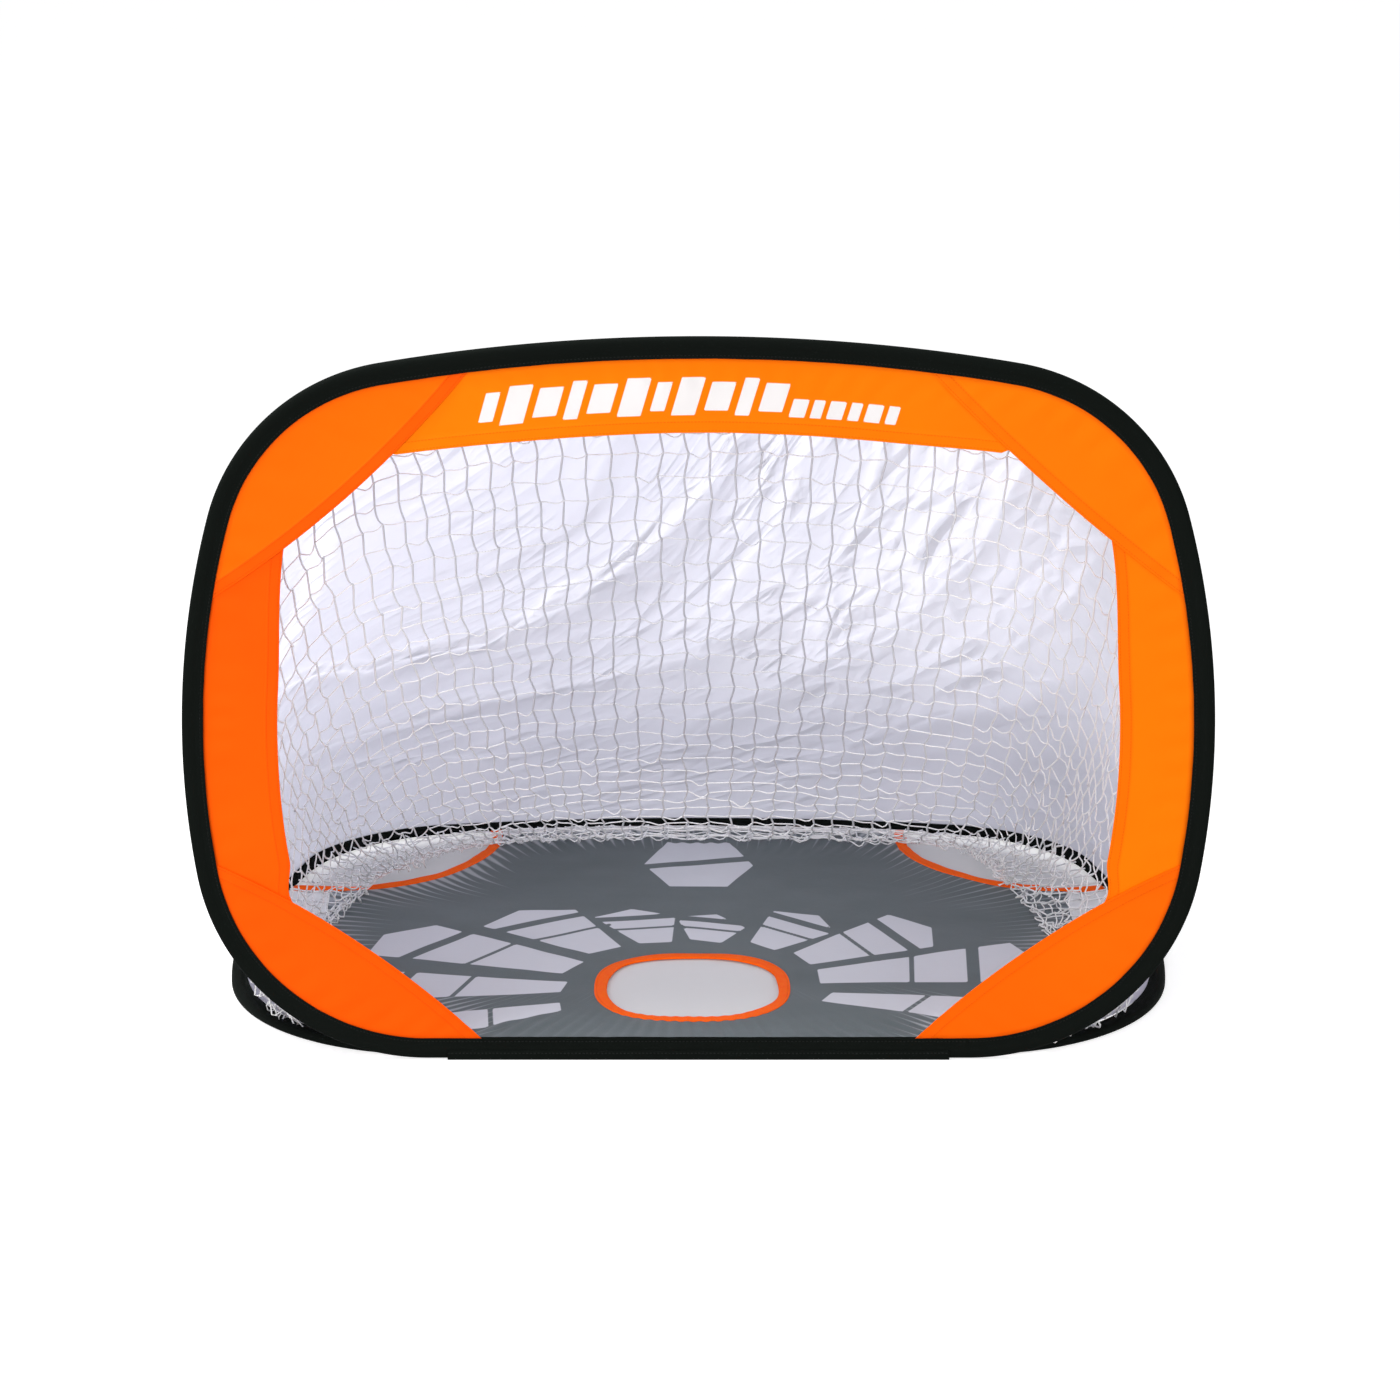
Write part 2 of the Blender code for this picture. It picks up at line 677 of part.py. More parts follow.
def make_front_bands():
    make_band("top_band", TOP_BAND_END, math.pi - TOP_BAND_END)
    make_band("right_band", SIDE_BAND_FOOT, SIDE_BAND_HEAD)
    make_band("left_band", math.pi - SIDE_BAND_HEAD, math.pi - SIDE_BAND_FOOT)


clear_scene()
parts = new_collection("pop_up_hockey_goal")
cutters = new_collection("cutters")
cutters.hide_render = True

floor_middle = bpy.data.objects.new("floor_frame_origin", None)
fold_axis = bpy.data.objects.new("fold_axis", None)
fold_axis.location = (0, AXIS_Y, AXIS_Z)
for empty in (floor_middle, fold_axis):
    parts.objects.link(empty)

make_loop("floor", FLOOR_SLOT, lay_on_floor)
make_loop("front", FRONT_SLOT, lay_in_front)
make_front_bands()
make_gussets()
make_hinge_tape()
make_panel_and_bindings()
make_net()
make_rear_sheet()
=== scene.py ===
"""Pop-up hockey goal: its visible pieces, materials, light and camera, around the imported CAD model.

Metres, in the frame of the CAD model. Every piece along a loop is drawn in the loop's own plane, with x
across it and h along it, and then stood up in the front frame or laid down in the floor frame.
"""

import math

import bmesh
import bpy
import numpy as np
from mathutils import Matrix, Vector


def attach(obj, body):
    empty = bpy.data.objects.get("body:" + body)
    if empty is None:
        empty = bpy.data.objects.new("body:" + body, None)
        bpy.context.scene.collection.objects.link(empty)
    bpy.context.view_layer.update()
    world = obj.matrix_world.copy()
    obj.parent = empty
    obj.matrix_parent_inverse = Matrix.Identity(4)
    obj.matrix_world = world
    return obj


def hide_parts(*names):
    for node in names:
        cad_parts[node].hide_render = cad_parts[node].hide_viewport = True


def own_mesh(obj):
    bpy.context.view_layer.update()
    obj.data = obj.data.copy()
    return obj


# The loop's outline and the pieces' places, as in the CAD source
LOOP_WIDTH = 0.914
LOOP_HEIGHT = 0.663
WIDEST_HEIGHT = 0.288
SIDE_RADIUS = 0.78
CROWN_RADIUS = 1.64
FOOT_CORNER_RADIUS = 0.205
HEAD_CORNER_RADIUS = 0.191
FRONT_Y = -0.33115
FRONT_FOOT = 0.001
FLOOR_Y = -0.32635
FLOOR_Z = 0.0045
SLEEVE_WIDTH = 0.019
SLEEVE_HALF = 0.0045
TUCKED_INSET = 0.0132
FRONT_SLOT = 0.0025
FLOOR_SLOT = 0.0014
BAND_INSET = 0.0843
HEM_WIDTH = 0.011
TOP_BAND_END = math.radians(68)
SIDE_BAND_HEAD = math.radians(30)
SIDE_BAND_FOOT = math.radians(-48)
HEAD_GUSSET_SIDE = math.radians(10.5)
HEAD_GUSSET_CROWN = math.radians(83.2)
HEAD_GUSSET_BULGE = 0.013
FOOT_GUSSET_SIDE = math.radians(-7.5)
FOOT_GUSSET_REACH = 0.192
FOOT_GUSSET_BULGE = 0.014
HINGE_TAPE_LENGTH = 0.456
FIVE_HOLE_HALF = np.array([0.082, 0.0775])
FIVE_HOLE_CENTRE = np.array([-0.006, 0.167])
FIVE_HOLE_POWER = 2.6
REAR_HOLE = (0.3729, 0.591, 0.151, 0.010)
FRONT_HOLE = (0.3909, 0.0601, 0.139, 0.0)
BINDING_WIDTH = 0.012

# Cloth thicknesses as they show, how far bands and gussets lie off the middle, and a folded tape's seam
CLOTH = 0.0005
HEM = 0.0009
PANEL = 0.0008
LAYER = 0.00055
TAPE_SEAM = 0.0163

# Net: rows and columns of string as sold, and how slack it hangs
NET_START = math.radians(-66)
NET_COLUMNS = 90
NET_ROW = 0.0245
NET_STRING = 0.00094
NET_CROSS_STRING = 0.00072
NET_SLACK = 0.007
NET_SIDE_SLACK = 0.17
NET_DRAWN_IN = (0.150, 0.050)
NET_LANDING = (
    (-66, 0.060), (-30, 0.095), (2, 0.110), (21, 0.120), (50, 0.100), (78, 0.040),
    (84, 0.031), (96, 0.031), (100, 0.055), (115, 0.090), (135, 0.098), (165, 0.095),
    (171, 0.080), (185, 0.078), (210, 0.070), (246, 0.050),
)
NET_PIN_INSET = 0.0196
NET_PIN_DEPTH = 0.0032
NET_LIFT = 0.0019
STRING_LIFT = 0.0012
NET_FLAT_ROWS = 4

# The rear cloth's small creases: features to the metre along and across, narrowness, height, how widespread
CLOTH_CREASES = (
    (3.0, 13.0, 7.0, 0.0052, 0.06),
    (6.0, 30.0, 6.0, 0.0026, 0.08),
    (14.0, 40.0, 5.0, 0.0012, 0.12),
)
SHEET_START = math.radians(-72)
SHEET_INSET = 0.0161

# The studio
WORLD_LIGHT = 0.46
FLOOR_SHADE = 0.6
FLOOR_SHADOW_POWER = 2.6

rng = np.random.default_rng(11)


def loop_arcs():
    """The arcs of the loop's right half, from the foot up: centres, radii and the normals' last angles."""
    side = Vector((LOOP_WIDTH / 2 - SIDE_RADIUS, WIDEST_HEIGHT))
    crown = Vector((0, LOOP_HEIGHT - CROWN_RADIUS))
    rise = WIDEST_HEIGHT - FOOT_CORNER_RADIUS
    reach = math.sqrt((SIDE_RADIUS - FOOT_CORNER_RADIUS) ** 2 - rise**2)
    foot = Vector((side.x + reach, FOOT_CORNER_RADIUS))
    from_side = SIDE_RADIUS - HEAD_CORNER_RADIUS
    from_crown = CROWN_RADIUS - HEAD_CORNER_RADIUS
    between = crown - side
    along = (from_side**2 - from_crown**2 + between.length_squared) / (2 * between.length)
    across = math.sqrt(from_side**2 - along**2)
    unit = between.normalized()
    head = side + along * unit + across * Vector((-unit.y, unit.x))
    spokes = (foot - side, head - side, head - crown)
    lasts = [math.atan2(spoke.y, spoke.x) for spoke in spokes] + [math.pi / 2]
    radii = (FOOT_CORNER_RADIUS, SIDE_RADIUS, HEAD_CORNER_RADIUS, CROWN_RADIUS)
    return np.array([tuple(centre) for centre in (foot, side, head, crown)]), np.array(radii), np.array(lasts)


CENTRES, RADII, LASTS = loop_arcs()


def directions(angles):
    return np.stack([np.cos(angles), np.sin(angles)], -1)


def loop_points(angles, inset):
    """Points of the loop whose outward normals have these angles, moved inwards. The angle runs from -90
    degrees at the right foot over the crown at 90 to 270 at the left foot."""
    angles = np.asarray(angles, float)
    left = angles > math.pi / 2
    right = np.where(left, math.pi - angles, angles)
    arc = np.searchsorted(LASTS, right).clip(0, 3)
    reach = RADII[arc] - inset
    x = CENTRES[arc, 0] + reach * np.cos(right)
    return np.stack([np.where(left, -x, x), CENTRES[arc, 1] + reach * np.sin(right)], -1)


def loop_inset(x, h):
    """How far points of the loop's plane lie inside the outline: the least over the arcs that face them."""
    x = np.abs(x)
    found = np.where(x <= CENTRES[0, 0], h, 9.0)
    first = -math.pi / 2
    for (centre_x, centre_h), radius, last in zip(CENTRES, RADII, LASTS):
        turn = np.arctan2(h - centre_h, x - centre_x)
        facing = (turn >= first - 1e-6) & (turn <= last + 1e-6)
        inside = radius - np.hypot(x - centre_x, h - centre_h)
        found = np.where(facing, np.minimum(found, inside), found)
        first = last
    return found


def lengths_along(points):
    steps = np.linalg.norm(np.diff(points, axis=0), axis=1)
    return np.concatenate([[0.0], np.cumsum(steps)])


def even_angles(start, end, count, inset=0.0):
    """Angles that part a stretch of the loop into equal lengths."""
    fine = np.linspace(start, end, 4001)
    lengths = lengths_along(loop_points(fine, inset))
    return np.interp(np.linspace(0, lengths[-1], count), lengths, fine)


def whole_loop(spacing):
    """The closed outline as points, inward normals and lengths, from the right foot round to it again."""
    angles = even_angles(-math.pi / 2, 1.5 * math.pi, int(2.25 / spacing))
    points = loop_points(angles, 0)
    inward = -directions(angles)
    foot_x = np.linspace(points[-1, 0], points[0, 0], int(2 * points[0, 0] / spacing))[1:-1]
    foot = np.stack([foot_x, 0 * foot_x], -1)
    points = np.vstack([points, foot])
    inward = np.vstack([inward, np.tile([0.0, 1.0], (len(foot), 1))])
    return points, inward, lengths_along(points)


def in_front(x, h, near=0.0):
    """A point drawn in the loop's plane, in the standing front frame, near metres towards the shooter."""
    x, h, near = np.broadcast_arrays(x, h, near)
    return np.stack([x, FRONT_Y - near, FRONT_FOOT + h], -1)


def on_floor(x, h, above=0.0):
    """The same in the floor frame, above metres over its middle plane."""
    x, h, above = np.broadcast_arrays(x, h, above)
    return np.stack([x, FLOOR_Y + h, FLOOR_Z + above], -1)


def smoothstep(low, high, value):
    share = np.clip((value - low) / (high - low), 0, 1)
    return share * share * (3 - 2 * share)


def soft_noise(x, y, seed):
    """Smooth noise from -1 to 1 with features one unit wide."""
    table = np.random.default_rng(seed).uniform(-1, 1, (64, 64))
    x, y = np.broadcast_arrays(np.asarray(x, float), np.asarray(y, float))
    cell_x, cell_y = np.floor(x).astype(int), np.floor(y).astype(int)
    share_x, share_y = smoothstep(0, 1, x - cell_x), smoothstep(0, 1, y - cell_y)
    low = table[cell_x % 64, cell_y % 64] * (1 - share_x) + table[(cell_x + 1) % 64, cell_y % 64] * share_x
    high = table[cell_x % 64, (cell_y + 1) % 64] * (1 - share_x)
    high = high + table[(cell_x + 1) % 64, (cell_y + 1) % 64] * share_x
    return low * (1 - share_y) + high * share_y


def slopes(distance, x, h, small=1e-4):
    """How fast a distance grows with x and with h."""
    by_x = distance(x + small, h) - distance(x - small, h)
    by_h = distance(x, h + small) - distance(x, h - small)
    return by_x / (2 * small), by_h / (2 * small)


def from_line(line, way, reach):
    """The x and h of points at these reaches from each point of a line, each along its own way."""
    flat = line[:, None, :] + reach[..., None] * way[:, None, :]
    return flat[..., 0], flat[..., 1]


def unit_rows(ways):
    return ways / (np.linalg.norm(ways, axis=1, keepdims=True) + 1e-12)


def grid_faces(rows, columns, close_rows=False, close_columns=False, start=0):
    ids = start + np.arange(rows * columns).reshape(rows, columns)
    if close_rows:
        ids = np.vstack([ids, ids[:1]])
    if close_columns:
        ids = np.hstack([ids, ids[:, :1]])
    return np.stack([ids[:-1, :-1], ids[:-1, 1:], ids[1:, 1:], ids[1:, :-1]], -1).reshape(-1, 4)


def end_caps(rows, columns):
    """The faces that close both ends of a tube: the points of its first and its last ring."""
    return [range(columns), range((rows - 1) * columns, rows * columns)]


def add_object(name, data):
    made = bpy.data.objects.new(name, data)
    bpy.context.scene.collection.objects.link(made)
    return made


def add_piece(name, points, faces, values, body, slot, finish, turn=True, caps=()):
    """A mesh piece with number attributes on its points, which its material reads."""
    mesh = bpy.data.meshes.new(name)
    mesh.from_pydata(points.reshape(-1, 3).tolist(), [], faces.tolist() + [list(cap) for cap in caps])
    for word, value in values.items():
        value = np.broadcast_to(value, points.shape[:-1]).astype(np.float32)
        mesh.attributes.new(word, "FLOAT", "POINT").data.foreach_set("value", value.ravel())
    if turn:
        shape = bmesh.new()
        shape.from_mesh(mesh)
        bmesh.ops.recalc_face_normals(shape, faces=shape.faces)
        shape.to_mesh(mesh)
        shape.free()
    mesh.shade_smooth()
    mesh.materials.append(finish)
    piece = add_object(name, mesh)
    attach(piece, body)
    return piece


def two_sided(middle, normal, thickness, values):
    """A closed sheet round a grid of points: points, faces and attribute values for its two sides and rim."""
    rows, columns = middle.shape[:2]
    half = np.asarray(thickness)[..., None] * normal / 2
    points = np.concatenate([(middle + half).reshape(-1, 3), (middle - half).reshape(-1, 3)])
    count = rows * columns
    near = grid_faces(rows, columns)
    ids = np.arange(count).reshape(rows, columns)
    rim = np.concatenate([ids[0], ids[1:, -1], ids[-1, -2::-1], ids[-2:0:-1, 0]])
    after = np.roll(rim, -1)
    edge = np.stack([rim, rim + count, after + count, after], -1)
    for word, value in values.items():
        values[word] = np.tile(np.broadcast_to(value, (rows, columns)).ravel(), 2)
    return points, np.concatenate([near, (near + count)[:, ::-1], edge]), values


class Wire:
    """A value in a node tree, to calculate with: each sign or call adds a node."""

    def __init__(self, tree, socket):
        self.tree = tree
        self.socket = socket

    def maths(self, operation, other=0.0, swapped=False):
        values = (other, self) if swapped else (self, other)
        return node(self.tree, "Math", enumerate(values), operation=operation)

    def __add__(self, other):
        return self.maths("ADD", other)

    def __sub__(self, other):
        return self.maths("SUBTRACT", other)

    def __rsub__(self, other):
        return self.maths("SUBTRACT", other, True)

    def __mul__(self, other):
        return self.maths("MULTIPLY", other)

    def sine(self):
        return self.maths("SINE")

    def size(self):
        return self.maths("ABSOLUTE")

    def clamped(self):
        return node(self.tree, "Clamp", {0: self})


def node(tree, kind, values=(), output=0, **settings):
    """A shader node, its inputs set or linked to wires. It gives back one of its outputs as a wire."""
    made = tree.nodes.new("ShaderNode" + kind)
    for word, value in settings.items():
        setattr(made, word, value)
    for key, value in dict(values).items():
        place = made.inputs[key]
        if isinstance(value, Wire):
            tree.links.new(value.socket, place)
        else:
            place.default_value = (*value, 1.0) if place.type == "RGBA" else value
    return None if output is None else Wire(tree, made.outputs[output])


def material(name, surface):
    """A material, its surface drawn in its node tree by the function that is given."""
    made = bpy.data.materials.new(name)
    made.use_nodes = True
    made.node_tree.nodes.clear()
    node(made.node_tree, "OutputMaterial", {"Surface": surface(made.node_tree)}, None)
    return made


def attribute(tree, name):
    return node(tree, "Attribute", output="Fac", attribute_type="GEOMETRY", attribute_name=name)


def mix(share, first, second):
    """A colour between two colours or wires."""
    return node(share.tree, "Mix", {0: share, 6: first, 7: second}, 2, data_type="RGBA")


def step_edge(value, soft):
    """0 below zero and 1 above it, with a soft edge of this width."""
    return (value * (1.0 / soft) + 0.5).clamped()


def fade(value, start, end, low=0.0, high=1.0):
    """A smooth step between two levels as a value goes from start to end."""
    values = enumerate((value, start, end, low, high))
    return node(value.tree, "MapRange", values, interpolation_type="SMOOTHSTEP")


def noise(tree, scale, detail=3.0, vector=None):
    values = {"Scale": scale, "Detail": detail}
    if vector:
        values["Vector"] = vector
    return node(tree, "TexNoise", values, "Fac")


def on_piece(tree, stretch=(1, 1, 1), turned=(0, 0, 0)):
    """The place on the piece, for a texture that is turned and then drawn out along its axes."""
    values = {"Vector": node(tree, "TexCoord", output="Object"), "Rotation": turned, "Scale": stretch}
    return node(tree, "Mapping", values, vector_type="TEXTURE")


def weave(along, across, threads):
    """The height of a plain weave, from 0 to 1, with this many threads to the metre."""
    turn = 2 * math.pi * threads
    return (along * turn).sine() * (across * turn).sine() * 0.5 + 0.5


def stitches(along, across, place, pitch, half_width):
    """1 on the threads of a line of stitches that runs along at this place across, and 0 beside them."""
    line = (1.0 - (across - place).size() * (1 / half_width)).clamped()
    return line * ((along * (2 * math.pi / pitch)).sine() * 1.6 + 0.8).clamped()


def bump(height, distance, strength=1.0, normal=None):
    values = {"Height": height, "Distance": distance, "Strength": strength}
    if normal:
        values["Normal"] = normal
    return node(height.tree, "Bump", values)


def cloth_surface(colour, normal, roughness, gloss, through=0.0, sheen=0.0):
    """A surface of cloth that lets a share of the light through."""
    values = {"Base Color": colour, "Normal": normal, "Roughness": roughness, "Specular IOR Level": gloss}
    surface = node(colour.tree, "BsdfPrincipled", {**values, "Sheen Weight": sheen})
    if through:
        lit = node(colour.tree, "BsdfTranslucent", {"Color": colour, "Normal": normal})
        surface = node(colour.tree, "MixShader", {0: through, 1: surface, 2: lit})
    return surface


def black_tape(tree):
    """Black woven tape with a line of stitches along its inner edge."""
    along, across = attribute(tree, "along"), attribute(tree, "across")
    threads = weave(along, across, 900)
    sewn = stitches(along, across, TAPE_SEAM, 0.0034, 0.0007)
    base = mix(noise(tree, 9.0), (0.0018, 0.0028, 0.0020), (0.0034, 0.0048, 0.0038))
    ribbed = mix(threads * 0.5, base, (0.007, 0.009, 0.008))
    colour = mix(sewn, ribbed, (0.016, 0.018, 0.017))
    normal = bump(sewn, 0.0006, 0.9, bump(threads, 0.0003, 0.5))
    return cloth_surface(colour, normal, 0.8, 0.04)


def orange_fabric(tree):
    """Thin orange nylon that deepens where it is doubled along a hem, with two lines of stitches there. Its
    tone is painted light and shade with painted sheen, and it has painted shade beside the sleeve.
    """
    along, edge, across = (attribute(tree, word) for word in ("along", "from_edge", "across"))
    # Painted light and shade: the piece's tone is lighter on the right and top pieces and deeper on the left
    # and low ones, with a broad noise of painted sheen over it.
    tone = (noise(tree, 3.2, 2.0, on_piece(tree)) * 0.5 + (attribute(tree, "tone") - 0.25)).clamped()
    light = mix(tone, (1.0, 0.096, 0.0), (1.0, 0.225, 0.0))
    light = mix(noise(tree, 21.0, 4.0, on_piece(tree)) * 0.3, light, (1.0, 0.15, 0.0))
    doubled = step_edge(HEM_WIDTH - edge, 0.0006) * attribute(tree, "hem")
    colour = mix(doubled, light, (1.0, 0.078, 0.0))
    # Painted shade: the cloth is deeper orange close to the sleeve.
    colour = mix(step_edge(0.0215 - across, 0.004) * 0.45, colour, (0.8, 0.07, 0.0))
    rows = [stitches(along, edge, place, 0.0030, 0.00045) for place in (0.0021, 0.0096)]
    sewn = rows[0].maths("MAXIMUM", rows[1])
    colour = mix(sewn * 0.5, colour, (0.85, 0.05, 0.0))
    small = noise(tree, 130.0, 3.0, on_piece(tree, (1.0, 1.0, 2.9), (0, 0.6, 0)))
    normal = bump(weave(along, edge, 1400), 0.0001, 0.25, bump(small, 0.0006, 0.35))
    normal = bump(sewn, 0.0004, 0.8, normal)
    colour = mix(step_edge(attribute(tree, "print"), 0.0005), colour, (0.86, 0.83, 0.83))
    return cloth_surface(colour, normal, 0.55, 0.05, 0.12)


def orange_binding(tree):
    along, across = attribute(tree, "along"), attribute(tree, "across")
    base = mix(noise(tree, 24.0), (1.0, 0.085, 0.0), (1.0, 0.16, 0.002))
    sewn = stitches(along, across, 0.0098, 0.0030, 0.0005)
    colour = mix(sewn * 0.6, base, (0.75, 0.04, 0.0))
    normal = bump(sewn, 0.0005, 0.8, bump(weave(along, across, 1000), 0.0002, 0.4))
    return cloth_surface(colour, normal, 0.6, 0.1)


def printed_panel(tree):
    """Slate print with pale shapes on white cloth, bare along the sides and the back."""
    dark_patch = noise(tree, 7.0, 5.0, on_piece(tree, (2.0, 0.6, 1.0)))
    slate = mix(dark_patch, (0.080, 0.100, 0.103), (0.134, 0.158, 0.163))
    pale_patch = noise(tree, 5.0, 3.0, on_piece(tree))
    pale = mix(pale_patch, (0.56, 0.57, 0.61), (0.66, 0.67, 0.71))
    ray = (attribute(tree, "ray").maths("FRACT") - 0.5).size()
    ray_here = step_edge(attribute(tree, "ray_width") - ray, 0.22)
    slate = mix(ray_here * 0.75, slate, (0.44, 0.46, 0.48))
    inked = mix(step_edge(attribute(tree, "pale"), 0.0007), slate, pale)
    cloth = mix(pale_patch, (0.74, 0.74, 0.73), (0.84, 0.84, 0.82))
    colour = mix(step_edge(attribute(tree, "print"), 0.0008), cloth, inked)
    threads = weave(attribute(tree, "along"), attribute(tree, "across"), 1100)
    crumple = noise(tree, 38.0, 4.0, on_piece(tree, (1.0, 1.7, 1.0), (0, 0, 0.7)))
    normal = bump(threads, 0.0001, 0.3, bump(crumple, 0.002, 0.35))
    return cloth_surface(colour, normal, 0.48, 0.15, sheen=0.05)


def white_net(tree):
    lay = (attribute(tree, "along") * (2 * math.pi / 0.0028)).sine()
    # Painted light and shade: the same white string is painted grey where it stands in shade and white where
    # it is lit.
    colour = mix(attribute(tree, "bright"), (0.46, 0.46, 0.52), (0.97, 0.97, 0.97))
    return cloth_surface(colour, bump(lay, 0.0003, 0.6), 0.35, 0.8)


def white_cloth(tree):
    """Thin creased white nylon, with painted shade low down and a painted highlight over its crumples. Both
    faces of the sheet pass light, so each passes most of it.
    """
    along, across, crumpled, *places = (
        attribute(tree, word) for word in ("along", "across", "crumpled", "crease_u", "crease_v")
    )
    colour = mix(noise(tree, 2.2, 3.0, on_piece(tree)), (0.73, 0.73, 0.795), (0.765, 0.765, 0.82))
    # Painted highlight: the cloth is paler over its crumples and along the creases. The same share also sets
    # where the small creases bump.
    colour = mix(crumpled * 0.7, colour, (0.94, 0.94, 0.99))
    # Painted shade: the cloth turns greyer towards the floor loop.
    colour = mix(fade(across, 0.50, 0.14) * 0.75, colour, (0.65, 0.65, 0.71))
    normal = None
    for run, spread, narrowness, height, widespread in CLOTH_CREASES:
        drawn_out = node(tree, "CombineXYZ", {0: places[0] * run, 1: places[1] * spread})
        off = (noise(tree, 1.0, 1.0, drawn_out) * 2.0 - 1.0).size()
        crest = (1.0 - off * narrowness).clamped()
        where = noise(tree, 0.25 * spread, 1.0, on_piece(tree, turned=(run, 0.0, 0.0)))
        where = node(tree, "MapRange", {0: where, 1: 0.55 - widespread, 2: 0.65 - widespread})
        normal = bump(crest * (where * crumpled), height, 1.0, normal)
    normal = bump(weave(along, across, 1200), 0.0001, 0.2, normal)
    return cloth_surface(colour, normal, 0.4, 0.8, 0.8)


def metal(colour, roughness, scale):
    """The surface of brushed metal, as a function of its node tree."""

    def surface(tree):
        grain = noise(tree, scale, 4.0, on_piece(tree, (20.0, 1.0, 1.0)))
        tone = mix(grain, [0.8 * part for part in colour], colour)
        values = {"Base Color": tone, "Metallic": 1.0, "Roughness": roughness}
        return node(tree, "BsdfPrincipled", {**values, "Normal": bump(grain, 0.0002, 0.3)})

    return surface


def mirrored(upper):
    """A closed section from its upper half."""
    return np.array(upper + [(reach, -above) for reach, above in reversed(upper)])


def sleeve_section(slot):
    """The folded tape's section as (inward, across): a soft swell over the strip, then two flat lips."""
    half = SLEEVE_HALF
    inner = slot / 2
    lip = inner + 0.0011
    swell = [(0.0, 0.0008), (0.0003, 0.0021), (0.0011, 0.0034), (0.0024, 0.0042), (0.0042, half)]
    swell += [(0.0064, half), (0.0084, 0.93 * half), (0.0102, 0.80 * half)]
    swell += [(0.0119, lip + 0.0005), (0.0136, lip + 0.0002)]
    lips = [(0.0152, lip + 0.0001), (TAPE_SEAM, lip - 0.0003), (0.0174, lip + 0.0001), (0.0185, lip)]
    lips += [(0.0190, lip - 0.0004), (0.0189, inner + 0.0001), (0.0160, inner), (0.0132, inner)]
    return mirrored(swell + lips)


def make_sleeve(name, slot, lay, body, seed):
    base, inward, lengths = whole_loop(0.0024)
    inset, across = sleeve_section(slot).T
    lip = smoothstep(0.010, 0.019, inset)
    swell = smoothstep(0.0, 0.004, inset) * (1 - smoothstep(0.009, 0.013, inset))
    slow = soft_noise(*(16 * base.T), seed)[:, None]
    quick = soft_noise(*(70 * base.T), seed + 1)[:, None]
    across = across * (1 - 0.06 * swell * (0.5 + 0.5 * quick)) + 0.0002254 * lip * slow
    inset = inset + 0.00035 * lip * (0.6 * slow + 0.4 * quick)
    points = lay(*from_line(base, inward, inset), np.clip(across, -SLEEVE_HALF, SLEEVE_HALF))
    values = {"along": lengths[:, None], "across": inset}
    return add_piece(name, points, grid_faces(*inset.shape, True, True), values, body, "black_tape", TAPE)


def front_wave(x, h):
    """How far the front's cloth stands towards the shooter: flat in the sleeve, loose at its hem."""
    inset = loop_inset(x, h)
    free = smoothstep(0.019, 0.060, inset)
    broad = 0.0011 * soft_noise(x * 9 + 3.3, h * 9 + 1.7, 21) + 0.0005 * soft_noise(x * 23, h * 23, 22)
    turn = np.arctan2(h - 0.3, x)
    pucker = 0.00035 * np.sin(turn * 95 + 2.5 * soft_noise(x * 14, h * 14, 23))
    near_sleeve = smoothstep(0.0185, 0.026, inset) * (1 - smoothstep(0.03, 0.062, inset))
    creased = 0.0007 * soft_noise(x * 34 + h * 40, h * 26 - x * 8, 24) * smoothstep(0.50, 0.57, h)
    return free * (broad + creased) + near_sleeve * pucker


def line_distance(x, y, line):
    """Distance from points to a line of points."""
    nearest = np.full(np.shape(x), 1e9)
    for (x0, y0), (x1, y1) in zip(line, line[1:]):
        way_x, way_y = x1 - x0, y1 - y0
        share = np.clip(((x - x0) * way_x + (y - y0) * way_y) / max(way_x**2 + way_y**2, 1e-12), 0, 1)
        nearest = np.minimum(nearest, np.hypot(x - x0 - share * way_x, y - y0 - share * way_y))
    return nearest


def polygon_distance(x, y, corners):
    """Signed distance to a polygon, positive inside it."""
    closed = [*corners, corners[0]]
    inside = np.zeros(np.shape(x), bool)
    for (x0, y0), (x1, y1) in zip(closed, closed[1:]):
        if y0 != y1:
            inside ^= ((y0 > y) != (y1 > y)) & (x < x0 + (y - y0) * (x1 - x0) / (y1 - y0))
    return np.where(inside, 1, -1) * line_distance(x, y, closed)


def band_print(x, h):
    """Slanted bars across the middle of the top band: a row of broad ones, then a lower row of small ones."""
    shown = np.full(np.shape(x), -1.0)
    arch = LOOP_HEIGHT - 0.0520 - (CROWN_RADIUS - np.sqrt(CROWN_RADIUS**2 - x**2))
    across = h - arch
    along = x - 0.30 * across
    left = -0.186
    bars = [((0.0125, 0.0205, 0.0205)[n % 3], (0.0125, 0.0165)[n % 2], 0.0, 0.0068) for n in range(11)]
    bars += [((0.0135, 0.0095)[n % 2], 0.0080, -0.0085, 0.0046) for n in range(6)]
    for wide, tall, place, gap in bars:
        bar = np.minimum(np.minimum(along - left, left + wide - along), tall - np.abs(across - place))
        shown = np.maximum(shown, bar)
        left += wide + gap
    return shown


def hem_rows(far, spacing=0.0024):
    """Places across a strip of cloth from its free edge, close together about the hem's own edge."""
    near = [0, 0.0006, 0.0016, 0.0021, 0.0028, 0.005, 0.0075, 0.0090, 0.0096, 0.0103]
    near += [HEM_WIDTH - 0.0003, HEM_WIDTH + 0.0003]
    return np.concatenate([near, np.arange(HEM_WIDTH + 0.0020, far, spacing), [far]])


